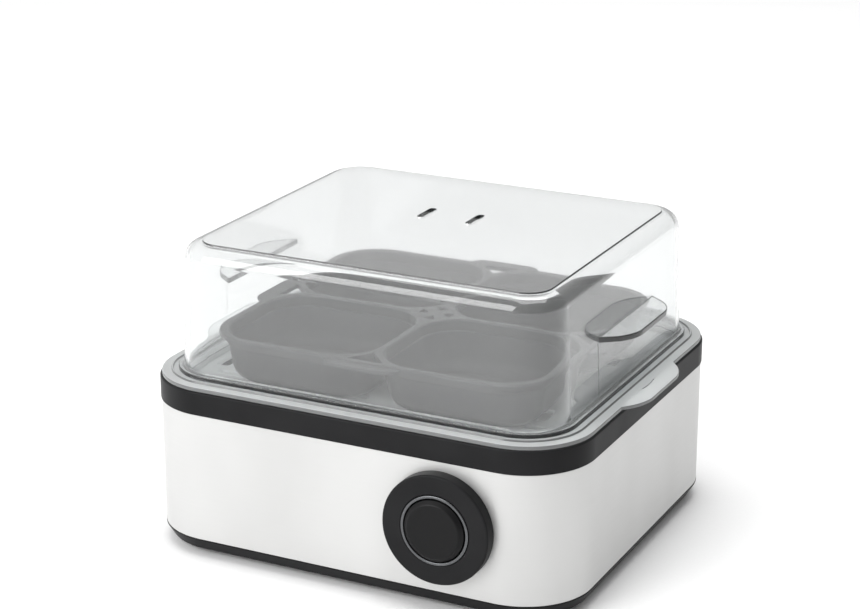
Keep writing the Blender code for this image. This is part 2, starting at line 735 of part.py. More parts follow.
def make_switch():
    """The jacket's face is the zero level; the front of the switch is above it."""
    face = -JACKET_FRONT
    neck_bottom = -JACKET_WALL - BEZEL_NECK_DEPTH
    bore = LIGHT_RING_RADIUS + TOUCH_GAP
    bezel_profile = [
        (bore, BEZEL_DEPTH),
        (BEZEL_RADIUS - 0.0012, BEZEL_DEPTH),
        (BEZEL_RADIUS - 0.0003, BEZEL_DEPTH - 0.0004),
        (BEZEL_RADIUS, BEZEL_DEPTH - 0.0012),
        (BEZEL_RADIUS, TOUCH_GAP),
        (BEZEL_NECK_RADIUS, TOUCH_GAP),
        (BEZEL_NECK_RADIUS, neck_bottom),
        (bore, neck_bottom),
    ]
    towards_front(turned("switch_bezel", bezel_profile, BLACK_PLASTIC, steps=64, ring=True), face)

    ring_top = BEZEL_DEPTH + LIGHT_RING_PROUD
    ring_bore = LIGHT_RING_RADIUS - LIGHT_RING_WIDTH
    ring_profile = [
        (ring_bore, ring_top),
        (LIGHT_RING_RADIUS, ring_top),
        (LIGHT_RING_RADIUS, neck_bottom),
        (ring_bore, neck_bottom),
    ]
    towards_front(turned("light_ring", ring_profile, SILVER_PLASTIC, steps=64, ring=True), face)

    button_radius = ring_bore - SLIDE_GAP
    top = BEZEL_DEPTH + BUTTON_PROUD
    cap_back = top - BUTTON_CAP_DEPTH
    body_front = neck_bottom - TOUCH_GAP - LAMP_BOARD_THICKNESS - TOUCH_GAP
    stem_end = body_front + BUTTON_TRAVEL + TOUCH_GAP
    button_profile = [
        (0, top),
        (button_radius - BUTTON_EDGE, top),
        (button_radius - 0.6 * BUTTON_EDGE, top - 0.0004),
        (button_radius - 0.1 * BUTTON_EDGE, top - 0.8 * BUTTON_PROUD),
        (button_radius, top - BUTTON_PROUD),
        (button_radius, cap_back),
        (BUTTON_STEM_RADIUS, cap_back),
        (BUTTON_STEM_RADIUS, stem_end),
        (0, stem_end),
    ]
    towards_front(turned("push_button", button_profile, BLACK_PLASTIC), face)

    board_top = neck_bottom - TOUCH_GAP
    board_profile = [
        (SPRING_RADIUS + 0.0020, board_top),
        (BEZEL_NECK_RADIUS, board_top),
        (BEZEL_NECK_RADIUS, board_top - LAMP_BOARD_THICKNESS),
        (SPRING_RADIUS + 0.0020, board_top - LAMP_BOARD_THICKNESS),
    ]
    towards_front(turned("lamp_board", board_profile, BOARD_GREEN, steps=32, ring=True), face)

    points = []
    low = body_front + TOUCH_GAP + SPRING_WIRE
    high = cap_back - TOUCH_GAP - SPRING_WIRE
    per_turn = 12
    count = SPRING_TURNS * per_turn
    for step in range(count + 1):
        angle = 2 * math.pi * step / per_turn
        rise = low + (high - low) * step / count
        points.append((SPRING_RADIUS * math.cos(angle), SPRING_RADIUS * math.sin(angle), rise))
    towards_front(tube("button_spring", points, SPRING_WIRE, PLATED_STEEL), face)

    width, height, depth = SWITCH_BODY_SIZE
    bm = bmesh.new()
    box(bm, (width, height, depth), (0, 0, body_front - depth / 2))
    towards_front(finish(bm, "switch_body", BLACK_PLASTIC), face)
    return face - body_front + depth


# Mains entry and inner wires


def make_cord_gland():
    """It stands out of the back as far as the button stands out of the front."""
    reach = BEZEL_DEPTH + BUTTON_PROUD
    profile = [
        (GLAND_BORE, reach),
        (GLAND_BORE + 0.0020, reach),
        (GLAND_RADIUS - 0.0010, 0.0030),
        (GLAND_RADIUS, 0.0020),
        (GLAND_RADIUS, TOUCH_GAP),
        (GLAND_NECK_RADIUS, TOUCH_GAP),
        (GLAND_NECK_RADIUS, -GLAND_NECK_DEPTH),
        (GLAND_BORE, -GLAND_NECK_DEPTH),
    ]
    gland = turned("cord_gland", profile, BLACK_PLASTIC, steps=32, ring=True)
    gland.rotation_euler = (math.radians(-90), 0, 0)
    gland.location = (GLAND_X, JACKET_FRONT, GLAND_Z)


def make_terminal_block():
    width, depth, height = TERMINAL_BLOCK_SIZE
    bm = bmesh.new()
    centre_z = COVER_FLOOR + TOUCH_GAP + height / 2
    box(bm, (width, depth, height), (0, TERMINAL_BLOCK_BEHIND, centre_z))
    finish(bm, "terminal_block", CERAMIC)


def make_wires(legs, switch_back):
    """Loose inner wires, each ending a gap short of what it is fixed to."""
    block_x = TERMINAL_BLOCK_SIZE[0] / 2
    block_z = COVER_FLOOR + TOUCH_GAP + TERMINAL_BLOCK_SIZE[2] / 2
    block_front = TERMINAL_BLOCK_BEHIND - TERMINAL_BLOCK_SIZE[1] / 2 - TOUCH_GAP
    right_leg, left_leg = (leg[-1] - Vector((0, 0, TOUCH_GAP + TERMINAL_SIZE[2])) for leg in legs)
    below = Vector((0, 0, TOUCH_GAP))
    switch_end = Vector((SWITCH_X, switch_back + TOUCH_GAP, SWITCH_Z))
    routes = {
        "wire_live": [
            (block_x * 0.6, block_front, block_z),
            (block_x * 0.6, block_front - 0.012, block_z),
            (SWITCH_X - 0.010, 0.010, block_z + 0.004),
            (SWITCH_X + 0.006, -0.045, SWITCH_Z - 0.016),
            switch_end + Vector((0.006, 0.010, -0.001)),
            switch_end + Vector((0.006, 0, 0)),
        ],
        "wire_neutral": [
            (-block_x * 0.6, block_front, block_z),
            (-block_x * 0.6, block_front - 0.012, block_z),
            (-0.030, 0.008, block_z + 0.002),
            left_leg + Vector((-0.006, 0.010, -0.012)),
            left_leg - below - Vector((0, 0, 0.004)),
            left_leg - below,
        ],
        "wire_switched": [
            switch_end - Vector((0.006, 0, 0)),
            switch_end + Vector((-0.006, 0.008, -0.001)),
            switch_end + Vector((-0.018, 0.014, -0.014)),
            right_leg + Vector((0.010, -0.002, -0.010)),
            right_leg - below - Vector((0, 0, 0.004)),
            right_leg - below,
        ],
        "wire_lamp": [
            (block_x * 0.1, block_front, block_z - 0.002),
            (block_x * 0.1, block_front - 0.010, block_z - 0.002),
            (0.012, 0.000, block_z - 0.003),
            (SWITCH_X - 0.022, -0.060, block_z + 0.002),
            switch_end + Vector((-0.004, 0.014, -0.010)),
            switch_end + Vector((0, 0.004, -0.006)),
            switch_end + Vector((0, 0, -0.006)),
        ],
    }
    for name, route in routes.items():
        tube(name, smooth_route(route), WIRE_RADIUS, WIRE_JACKET, bevel_resolution=0)


# Egg tray


def seat_places():
    """The eight egg seats: four towards the corners, two at the sides and two in the middle."""
    half_x = TRAY[0] / 2 - TRAY_RECESS
    half_y = TRAY[1] / 2 - TRAY_RECESS
    side_x = half_x - SEAT_SIDE_MARGIN - SEAT_RADIUS
    corner_x = side_x * SEAT_CORNER_SHARE
    row_y = half_y * SEAT_ROW_SHARE
    places = [(-side_x, 0), (side_x, 0)]
    for y in (-row_y, row_y):
        places += [(-corner_x, y), (corner_x, y), (0, y * SEAT_MIDDLE_SHARE)]
    return places


def arc_slot(bm, centre, radius, width, middle, span, low, high):
    """A curved slot about the centre, its middle in the given direction."""
    steps = 6
    outline = []
    for offset, order in ((width / 2, 1), (-width / 2, -1)):
        for step in range(steps + 1):
            angle = math.radians(middle + order * span * (step / steps - 0.5))
            x = centre[0] + (radius + offset) * math.cos(angle)
            y = centre[1] + (radius + offset) * math.sin(angle)
            outline.append((x, y))
    prism(bm, outline, low, high)


def tab_outline(side, root_x, tip_x, root, tip):
    """A tapered tab that reaches out of a side wall, from root_x to tip_x."""
    return [
        (side * root_x, -root / 2),
        (side * tip_x, -tip / 2),
        (side * tip_x, tip / 2),
        (side * root_x, root / 2),
    ]


def round_tab(bm, outline, low, high, corner):
    """The tab with its two outer corners rounded."""
    prism(bm, outline, low, high)
    bm.edges.ensure_lookup_table()
    tips = [Vector(point) for point in outline[1:3]]
    uprights = []
    for edge in bm.edges:
        first, second = edge.verts
        upright = (first.co.xy - second.co.xy).length < 1e-7
        if upright and any((first.co.xy - tip).length < 1e-6 for tip in tips):
            uprights.append(edge)
    bmesh.ops.bevel(bm, geom=uprights, offset=corner, segments=4, affect="EDGES", profile=0.5)


def make_egg_tray():
    recess = TRAY_RECESS
    underside = TRAY_FLOOR - TRAY_THICKNESS
    bead = TRAY_BEAD_INSET
    profile = [
        (recess + 0.0012, underside),
        (TRAY_STEP_INSET + 0.0006, underside + 0.0006),
        (TRAY_STEP_INSET, underside + 0.0018),
        (TRAY_STEP_INSET, TRAY_Z),
        (0.0006, TRAY_Z),
        (0, TRAY_Z + 0.0006),
        (0, TRAY_TOP - 0.0006),
        (0.0006, TRAY_TOP),
        (bead, TRAY_TOP),
        (bead + 0.0003, TRAY_TOP + TRAY_BEAD_HEIGHT),
        (bead + TRAY_BEAD_WIDTH - 0.0003, TRAY_TOP + TRAY_BEAD_HEIGHT),
        (bead + TRAY_BEAD_WIDTH, TRAY_TOP),
        (recess - 0.0004, TRAY_TOP),
        (recess, TRAY_TOP - 0.0004),
        (recess, TRAY_FLOOR + 0.0010),
        (recess + 0.0010, TRAY_FLOOR),
    ]
    tray = finish(lofted(TRAY, profile), "egg_tray", CLEAR_PLASTIC)

    edge_x = TRAY[0] / 2
    tabs = bmesh.new()
    for side in (-1, 1):
        outline = tab_outline(side, edge_x - 0.002, edge_x + TRAY_TAB_REACH, TRAY_TAB_ROOT, TRAY_TAB_TIP)
        round_tab(tabs, outline, TRAY_Z + 0.0001, TRAY_TOP - 0.0001, 0.008)
    join(tray, tabs, "tray_tabs")

    dishes, hollows, slots = bmesh.new(), bmesh.new(), bmesh.new()
    top, bottom = TRAY_FLOOR, TRAY_FLOOR - SEAT_DEPTH
    low_radius = SEAT_RADIUS - SEAT_SLOPE
    for x, y in seat_places():
        dish_bottom = bottom - TRAY_THICKNESS
        cylinder(dishes, low_radius + 0.0004, dish_bottom, top - 0.001, (x, y), SEAT_RADIUS + 0.0004)
        grow = SEAT_SLOPE * 0.001 / SEAT_DEPTH
        cylinder(hollows, low_radius, bottom, top + 0.001, (x, y), SEAT_RADIUS + grow)
        ahead = 90 if y > 0 else -90
        middle = SEAT_RADIUS - SEAT_SLOPE / 2
        arc_slot(
            slots, (x, y), middle, STEAM_ARC_WIDTH, ahead, STEAM_ARC_SPAN, dish_bottom - 0.002, top + 0.002
        )

    half_x = TRAY[0] / 2 - TRAY_RECESS
    half_y = TRAY[1] / 2 - TRAY_RECESS
    side_x = half_x - SIDE_SLOT_MARGIN
    short_x = half_x - SEAT_SIDE_MARGIN - SIDE_SLOT_WIDTH * 1.9
    row_y = half_y * SEAT_ROW_SHARE + ROW_SLOT_BEYOND
    row_x = half_x - SEAT_SIDE_MARGIN - ROW_SLOT_FROM_SEAT
    reach = TRAY_THICKNESS * 4
    for side in (-1, 1):
        for way in (-1, 1):
            y = way * (SIDE_SLOT_FIRST + SIDE_SLOT_LENGTH / 2)
            box(slots, (SIDE_SLOT_WIDTH, SIDE_SLOT_LENGTH, reach), (side * side_x, y, top))
            y = way * (row_y - ROW_SLOT_WIDTH / 2 - SHORT_SLOT_GAP - SHORT_SLOT_LENGTH / 2)
            box(slots, (SIDE_SLOT_WIDTH, SHORT_SLOT_LENGTH, reach), (side * short_x, y, top))
            box(slots, (ROW_SLOT_LENGTH, ROW_SLOT_WIDTH, reach), (side * row_x, way * row_y, top))
            middle_x = SEAT_RADIUS * 0.8
            box(slots, (ROW_SLOT_LENGTH, ROW_SLOT_WIDTH, reach), (side * middle_x, way * row_y, top))
    join(tray, dishes, "seat_dishes")
    cut(tray, hollows, "seat_hollows")
    cut(tray, slots, "steam_slots")


# Poaching tray


def cup_centres():
    x, y = (CUP_WIDTH + CUP_WEB) / 2, (CUP_DEPTH + CUP_WEB) / 2
    return [(-x, -y), (x, -y), (-x, y), (x, y)]


def make_poaching_tray():
    width = 2 * CUP_WIDTH + CUP_WEB + 2 * CUP_RIM
    depth = 2 * CUP_DEPTH + CUP_WEB + 2 * CUP_RIM
    rim_low = CUP_TOP - CUP_RIM_THICKNESS
    rim = (width, depth, CUP_CORNER + CUP_RIM)
    profile = [
        (0.0006, rim_low),
        (0, rim_low + 0.0006),
        (0, CUP_TOP - 0.0010),
        (0.0010, CUP_TOP),
    ]
    tray = finish(lofted(rim, profile), "poaching_tray", BLACK_COATING)

    tabs = bmesh.new()
    for side in (-1, 1):
        outline = tab_outline(
            side, width / 2 - 0.002, width / 2 + CUP_TAB_REACH, CUP_TAB_ROOT, CUP_TAB_TIP
        )
        round_tab(tabs, outline, rim_low + 0.0002, CUP_TOP - 0.0006, 0.004)
        outline = tab_outline(
            side, depth / 2 - 0.002, depth / 2 + CUP_TAB_REACH, CUP_TAB_ROOT, CUP_TAB_TIP
        )
        turned_outline = [(-y, x) for x, y in outline]
        round_tab(tabs, turned_outline, rim_low + 0.0002, CUP_TOP - 0.0006, 0.004)
    join(tray, tabs, "poaching_tabs")

    outer_cup = (CUP_WIDTH + 2 * CUP_WALL, CUP_DEPTH + 2 * CUP_WALL, CUP_CORNER + CUP_WALL)
    inner_cup = (CUP_WIDTH, CUP_DEPTH, CUP_CORNER)
    step_z = CUP_TOP - CUP_STEP_DROP
    curl = CUP_TAPER * 0.6
    outer = [
        (CUP_TAPER, CUP_BOTTOM),
        (CUP_TAPER - curl * 0.6, CUP_BOTTOM + 0.0014),
        (CUP_TAPER - curl, CUP_BOTTOM + 0.0050),
        (CUP_STEP, step_z - 0.0004),
        (0, step_z + 0.0004),
        (0, rim_low + 0.0010),
    ]
    inner = [
        (CUP_TAPER, CUP_BOTTOM + CUP_WALL),
        (CUP_TAPER - curl * 0.6, CUP_BOTTOM + CUP_WALL + 0.0014),
        (CUP_TAPER - curl, CUP_BOTTOM + CUP_WALL + 0.0050),
        (CUP_STEP, step_z - 0.0004),
        (0, CUP_TOP - 0.0010),
        (-0.0002, CUP_TOP + 0.0020),
    ]
    cups, hollows = bmesh.new(), bmesh.new()
    for centre in cup_centres():
        loft(cups, outer_cup, outer, centre=centre, steps=6)
        loft(hollows, inner_cup, inner, centre=centre, steps=6)
    join(tray, cups, "cup_walls")
    cut(tray, hollows, "cup_hollows")

    notches = bmesh.new()
    low, high = CUP_BOTTOM + CUP_HEIGHT / 2, CUP_TOP + 0.002
    inner_y = depth / 2 - CUP_RIM
    inner_x = width / 2 - CUP_RIM
    for side in (-1, 1):
        base, tip = side * (inner_y + 0.0015), side * (inner_y - CUP_NOTCH_LENGTH)
        prism(notches, [(-CUP_NOTCH_HALF, base), (CUP_NOTCH_HALF, base), (0, tip)][::side], low, high)
        base, tip = side * (inner_x + 0.0015), side * (inner_x - CUP_NOTCH_LENGTH)
        prism(notches, [(base, -CUP_NOTCH_HALF), (base, CUP_NOTCH_HALF), (tip, 0)][::side], low, high)
    near, far, half = 0.0040, 0.0090, 0.0035
    for side in (-1, 1):
        prism(notches, [(side * near, 0), (side * far, -half), (side * far, half)], low, high)
        prism(notches, [(0, side * near), (-half, side * far), (half, side * far)], low, high)
    cut(tray, notches, "web_openings")


# Lid


def make_lid():
    """A cap that stands on the egg tray's rim, with a skirt that drops into the tray's recess."""
    wall_foot = LID_FLARE - 0.0004
    wall_head = wall_foot + LID_DRAFT
    shoulder_z = LID_Z + LID_HEIGHT - LID_SHOULDER_DROP - LID_TOP_STEP
    plate_z = LID_Z + LID_HEIGHT - LID_TOP_STEP
    flare_top = LID_Z + LID_FLARE_THICKNESS

    def shoulder(inset_by, drop):
        """The curved shoulder, a quarter of an ellipse from the wall to the top plate."""
        steps = 5
        points = []
        for step in range(steps + 1):
            angle = math.radians(90 * step / steps)
            inset = wall_head + inset_by + LID_SHOULDER_INSET * (1 - math.cos(angle))
            points.append((inset, shoulder_z + LID_SHOULDER_DROP * math.sin(angle) - drop))
        return points

    top_inset = wall_head + LID_SHOULDER_INSET
    inner = [(inset, z) for inset, z in reversed(shoulder(LID_WALL, LID_WALL * 0.8))]
    outer = shoulder(0, 0)
    profile = [
        (top_inset + LID_WALL + 0.0010, plate_z - LID_WALL * 0.8),
        *inner[1:],
        (LID_FLARE + LID_WALL, LID_Z - LID_SKIRT),
        (LID_FLARE, LID_Z - LID_SKIRT),
        (LID_FLARE, LID_Z),
        (0.0004, LID_Z),
        (0, LID_Z + 0.0004),
        (0, flare_top - 0.0004),
        (0.0004, flare_top),
        (wall_foot - 0.0010, flare_top + 0.0006),
        (wall_foot, flare_top + 0.0020),
        *outer,
        (top_inset + 0.0002, plate_z + LID_TOP_STEP),
    ]
    lid = finish(lofted(LID, profile), "lid", CLEAR_PLASTIC)

    handle_z = LID_Z + LID_HANDLE_HEIGHT
    share = LID_HANDLE_HEIGHT / (LID_HEIGHT - LID_SHOULDER_DROP)
    wall_x = LID[0] / 2 - wall_foot - LID_DRAFT * share
    handles = bmesh.new()
    for side in (-1, 1):
        outline = tab_outline(
            side, wall_x - LID_WALL / 2, wall_x + LID_HANDLE_REACH, LID_HANDLE_ROOT, LID_HANDLE_TIP
        )
        high = handle_z + LID_HANDLE_THICKNESS
        round_tab(handles, outline, handle_z, high, 0.008)
    join(lid, handles, "lid_handles")

    vents = bmesh.new()
    for side in (-1, 1):
        centre = (side * VENT_SPACING / 2, VENT_BEHIND)
        half_x, half_y = VENT_WIDTH / 2, VENT_LENGTH / 2
        outline = [
            (centre[0] - half_x, centre[1] - half_y),
            (centre[0] + half_x, centre[1] - half_y),
            (centre[0] + half_x, centre[1] + half_y),
            (centre[0] - half_x, centre[1] + half_y),
        ]
        prism(vents, outline, plate_z - 0.006, plate_z + 0.006, corner=half_x * 0.9)
    cut(lid, vents, "steam_vents")


make_bottom_cover()
make_steel_jacket()
make_top_housing()
make_feet()
make_cover_screws()
make_heating_plate()
make_heat_spreader()
element_legs = make_heating_element()
make_thermostat()
make_plate_clamp()
switch_back_y = make_switch()
make_cord_gland()
make_terminal_block()
make_wires(element_legs, switch_back_y)
make_egg_tray()
make_poaching_tray()
make_lid()
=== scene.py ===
"""Looks of the egg cooker: each shell that shows is modelled again, finer, round the frame."""

import math

import bmesh
import bpy
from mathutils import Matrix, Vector


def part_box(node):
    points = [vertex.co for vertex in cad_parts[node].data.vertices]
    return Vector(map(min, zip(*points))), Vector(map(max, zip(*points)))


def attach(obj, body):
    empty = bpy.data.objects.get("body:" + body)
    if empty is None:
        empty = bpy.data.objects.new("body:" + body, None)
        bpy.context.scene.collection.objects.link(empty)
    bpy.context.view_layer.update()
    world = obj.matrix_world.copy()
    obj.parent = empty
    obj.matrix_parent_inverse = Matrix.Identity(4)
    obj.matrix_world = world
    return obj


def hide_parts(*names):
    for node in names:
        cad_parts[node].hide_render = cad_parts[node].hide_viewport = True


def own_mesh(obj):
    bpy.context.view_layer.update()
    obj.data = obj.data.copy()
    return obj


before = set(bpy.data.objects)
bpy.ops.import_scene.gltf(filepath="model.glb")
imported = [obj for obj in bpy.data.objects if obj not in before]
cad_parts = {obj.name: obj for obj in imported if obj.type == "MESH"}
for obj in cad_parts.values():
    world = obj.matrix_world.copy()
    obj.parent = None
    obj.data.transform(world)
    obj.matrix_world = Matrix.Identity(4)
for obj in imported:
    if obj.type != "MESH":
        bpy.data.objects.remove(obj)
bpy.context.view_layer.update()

# Sizes shared with the frame, in metres
TOUCH_GAP = 0.0003
BODY_CORNER = 0.0368
JACKET_INSET = 0.0005
JACKET_WALL = 0.0008
RIM_WALL = 0.0027
LEDGE_DROP = 0.0083
LEDGE_WIDTH = 0.0080
WELL_DEPTH = 0.0310
HOUSING_WALL = 0.0022
HOUSING_SKIRT = 0.0065
PLATE_HOLE = 0.0625
POST_FROM_SIDE = 0.0320
POST_RADIUS = 0.0048
SWITCH_X = 0.0550
SWITCH_Z = 0.0455
BEZEL_NECK = 0.0205
GLAND_NECK = 0.0068
GLAND_BORE = 0.0038
TRAY_CORNER = 0.0358
TRAY_STEP = 0.0095
TRAY_WALL = 0.0020
TRAY_DROP = 0.0061
SEAT_RADIUS = 0.0210
SEAT_SLOPE = 0.0080
SEAT_DEPTH = 0.0050
CUP_WIDTH = 0.0860
CUP_DEPTH = 0.0770
CUP_CORNER = 0.0220
CUP_WALL = 0.0014
CUP_WEB = 0.0045
CUP_RIM = 0.0050
LID_CORNER = 0.0271
LID_WALL = 0.0018
LID_FLARE = 0.0034
LID_SKIRT = 0.0040
LID_DRAFT = 0.0022
LID_SHOULDER = 0.0080
GRIP_HEIGHT = 0.0310
GRIP_THICKNESS = 0.0030

# The camera, level turned down and round, in degrees
CAMERA_PLACE = (0.4907, -0.9934, 0.4921)
CAMERA_DOWN = 18.678
CAMERA_ROUND = 26.482
CAMERA_LENS = 93.37

# Sizes of the looks only, in metres
BODY_WIDTH = 0.2400
WELL_TAPER = 0.0020
AIR_SLOT_WIDTH = 0.0030
AIR_SLOT_LENGTH = 0.0300
AIR_SLOT_PITCH = 0.0090
AIR_SLOT_ROW = 0.0400
SEAT_SIDE_X = 0.0738
SEAT_ROW_Y = 0.04775
SEAT_CORNER_SHARE = 0.702
SEAT_MIDDLE_SHARE = 0.58
SLIT_HALF_LENGTH = 0.0080
SLIT_SQUEEZE = 0.30
SLIT_FROM_RIM = 0.0035
VENT_WIDTH = 0.0040
VENT_LENGTH = 0.0180
VENT_CORNER = 0.0019
VENT_X = 0.0140
VENT_Y = 0.0160
MARK_DEPTH = 0.0005

# The egg tray's slots in one quarter: width, depth and the place of the middle
TRAY_SLOTS = (
    (0.0070, 0.0214, 0.0995, 0.0197),
    (0.0070, 0.0214, 0.0995, 0.0423),
    (0.0070, 0.0160, 0.0815, 0.0440),
    (0.0180, 0.0045, 0.0868, 0.0618),
    (0.0180, 0.0045, 0.0172, 0.0618),
)

CORNERS = ("front_left", "front_right", "rear_left", "rear_right")

# A cutter stands this far out of what it cuts
PROUD = 0.0010

# How finely the round shapes are divided
CORNER_SEGMENTS = 20
ROUND_SEGMENTS = 96

# Units, the range of a noise that is used, and the index of moulded ABS
MM_PER_M = 1000
GRAIN_SPREAD = (0.3, 0.7)
ABS_IOR = 1.53


# Modelling tools


def deselect_all():
    bpy.ops.object.select_all(action="DESELECT")


def make_active(piece):
    deselect_all()
    piece.select_set(True)
    bpy.context.view_layer.objects.active = piece


def edit_all(piece):
    """Edit mode on the piece, with all of it selected."""
    make_active(piece)
    bpy.ops.object.mode_set(mode="EDIT")
    bpy.ops.mesh.select_mode(type="FACE")
    bpy.ops.mesh.select_all(action="SELECT")


def select_faces(piece, wanted):
    """In edit mode, selects the faces whose centre and normal are wanted, and nothing else."""
    bpy.ops.mesh.select_all(action="DESELECT")
    mesh = bmesh.from_edit_mesh(piece.data)
    for face in mesh.faces:
        face.select_set(bool(wanted(face.calc_center_median(), face.normal)))
    bmesh.update_edit_mesh(piece.data)


def level_at(z):
    """A test for flat faces at the height z."""
    return lambda centre, normal: abs(centre.z - z) < 2e-6 and abs(normal.z) > 0.99


def start_outline(name, width, depth, corner, z, centre=(0, 0), segments=CORNER_SEGMENTS):
    """A flat rectangle with round corners, in edit mode with its face selected."""
    deselect_all()
    bpy.ops.mesh.primitive_plane_add(size=1, location=(*centre, z))
    piece = bpy.context.object
    piece.name = name
    piece.scale = (width, depth, 1)
    bpy.ops.object.transform_apply(location=True, rotation=False, scale=True)
    edit_all(piece)
    bpy.ops.mesh.bevel(offset=corner, segments=segments, affect="VERTICES", clamp_overlap=False)
    bpy.ops.mesh.select_all(action="SELECT")
    return piece


def start_disc(name, radius, z, centre=(0, 0), segments=ROUND_SEGMENTS):
    """A flat disc, in edit mode with its face selected."""
    deselect_all()
    bpy.ops.mesh.primitive_circle_add(
        vertices=segments, radius=radius, fill_type="NGON", location=(*centre, z)
    )
    piece = bpy.context.object
    piece.name = name
    bpy.ops.object.transform_apply(location=True, rotation=False, scale=False)
    edit_all(piece)
    return piece


def start_tab(name, side, inner, reach, root, tip, corner, z, along_y=False):
    """A flat tapered tab that reaches out to one side, its two outer corners rounded."""
    deselect_all()
    bpy.ops.mesh.primitive_plane_add(size=1, location=(side * (inner + reach / 2), 0, z))
    piece = bpy.context.object
    piece.name = name
    piece.scale = (reach, root, 1)
    bpy.ops.object.transform_apply(location=True, rotation=False, scale=True)
    bpy.ops.object.mode_set(mode="EDIT")
    bpy.ops.mesh.select_mode(type="VERT")
    bpy.ops.mesh.select_all(action="DESELECT")
    mesh = bmesh.from_edit_mesh(piece.data)
    for vertex in mesh.verts:
        vertex.select_set(side * vertex.co.x > inner + reach / 2)
    bmesh.update_edit_mesh(piece.data)
    bpy.ops.transform.resize(value=(1, tip / root, 1), center_override=(0, 0, 0))
    bpy.ops.mesh.bevel(offset=corner, segments=10, affect="VERTICES", clamp_overlap=False)
    bpy.ops.mesh.select_mode(type="FACE")
    bpy.ops.mesh.select_all(action="SELECT")
    if along_y:
        quarter = math.radians(90)
        bpy.ops.transform.rotate(value=quarter, orient_axis="Z", center_override=(0, 0, 0))
    return piece


def carry(path):
    """Carries the selected cap along its (inwards, upwards) steps and walls each to the last."""
    for inwards, upwards in path:
        if inwards:
            bpy.ops.mesh.inset(thickness=inwards, depth=0, use_even_offset=True)
            bpy.ops.transform.translate(value=(0, 0, upwards))
        else:
            bpy.ops.mesh.extrude_region_move(TRANSFORM_OT_translate={"value": (0, 0, upwards)})


def carry_from(piece, z, path):
    select_faces(piece, level_at(z))
    carry(path)


def bend(radius, start, end, steps=4):
    """A rounded turn of a path, between headings in degrees: 90 climbs, 0 goes in and -90 drops."""
    turn = (end - start) / steps
    chord = 2 * radius * math.sin(math.radians(abs(turn)) / 2)
    headings = [math.radians(start + turn * (step + 0.5)) for step in range(steps)]
    return [(chord * math.cos(heading), chord * math.sin(heading)) for heading in headings]


def cap_level(piece):
    """The height of the selected cap."""
    mesh = bmesh.from_edit_mesh(piece.data)
    return [face.calc_center_median().z for face in mesh.faces if face.select][0]


def slope(inwards, upwards):
    return [(inwards, upwards)]


def total(path):
    """How far in and how far up a path goes."""
    return sum(step[0] for step in path), sum(step[1] for step in path)


def bridge_caps(piece, low_z, high_z):
    """Opens the two caps at those heights into one hole."""

    def is_cap(centre, normal):
        flat = abs(normal.z) > 0.99 and centre.xy.length < 1e-3
        return flat and min(abs(centre.z - low_z), abs(centre.z - high_z)) < 2e-6

    select_faces(piece, is_cap)
    bpy.ops.mesh.bridge_edge_loops()


def leave_edit(piece):
    """Back to object mode, with the faces turned outwards."""
    bpy.ops.mesh.select_all(action="SELECT")
    bpy.ops.mesh.normals_make_consistent(inside=False)
    bpy.ops.object.mode_set(mode="OBJECT")
    return piece


def join_pieces(pieces):
    make_active(pieces[0])
    for piece in pieces[1:]:
        piece.select_set(True)
    if len(pieces) > 1:
        bpy.ops.object.join()
    return pieces[0]


def combine(piece, tools, operation):
    """Cuts the tools from the piece, or joins them to it."""
    tool = join_pieces(tools)
    make_active(piece)
    modifier = piece.modifiers.new("combine", "BOOLEAN")
    modifier.operation = operation
    modifier.object = tool
    bpy.ops.object.modifier_apply(modifier=modifier.name)
    bpy.data.objects.remove(tool)


def stand(piece, rotation, location):
    """Turns and places a piece that was modelled about Z at the origin, and applies it."""
    make_active(piece)
    piece.rotation_euler = rotation
    piece.location = location
    bpy.ops.object.transform_apply(location=True, rotation=True, scale=False)


def finish_piece(piece, body, material, nodes=(), angle=32):
    """Smooth shading, material, the body it rides on and the nodes it stands for."""
    edit_all(piece)
    bpy.ops.mesh.remove_doubles(threshold=1e-6)
    leave_edit(piece)
    piece.data.name = piece.name
    piece.data.materials.clear()
    piece.data.materials.append(material)
    make_active(piece)
    bpy.ops.object.shade_smooth_by_angle(angle=math.radians(angle))
    weighted = piece.modifiers.new("weighted", "WEIGHTED_NORMAL")
    weighted.keep_sharp = True
    bpy.ops.object.modifier_apply(modifier=weighted.name)
    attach(piece, body)
    if nodes:
        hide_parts(*nodes)
    return piece


def paint(piece, material, wanted):
    """Gives the faces that are wanted a second finish."""
    piece.data.materials.append(material)
    slot = len(piece.data.materials) - 1
    for face in piece.data.polygons:
        if wanted(face.center, face.normal):
            face.material_index = slot


# Materials


def colour(hex_code):
    """Linear RGBA from an sRGB hex code."""
    channels = [int(hex_code[i : i + 2], 16) / 255 for i in (1, 3, 5)]
    linear = [c / 12.92 if c <= 0.04045 else ((c + 0.055) / 1.055) ** 2.4 for c in channels]
    return (*linear, 1.0)


def add(tree, kind, settings=None, links=None):
    """Adds a node with its settings and the outputs that feed its inputs."""
    node = tree.nodes.new(kind)
    for key, value in (settings or {}).items():
        if isinstance(key, str) and hasattr(node, key):
            setattr(node, key, value)
        else:
            node.inputs[key].default_value = value
    for key, source in (links or {}).items():
        tree.links.new(source, node.inputs[key])
    return node


def new_material(name, base, roughness, **settings):
    """A material whose Principled shader has those settings."""
    material = bpy.data.materials.new(name)
    material.use_nodes = True
    shader = material.node_tree.nodes["Principled BSDF"]
    shader.inputs["Base Color"].default_value = colour(base)
    shader.inputs["Roughness"].default_value = roughness
    for key, value in settings.items():
        shader.inputs[key.replace("_", " ")].default_value = value
    material.diffuse_color = colour(base)
    return material


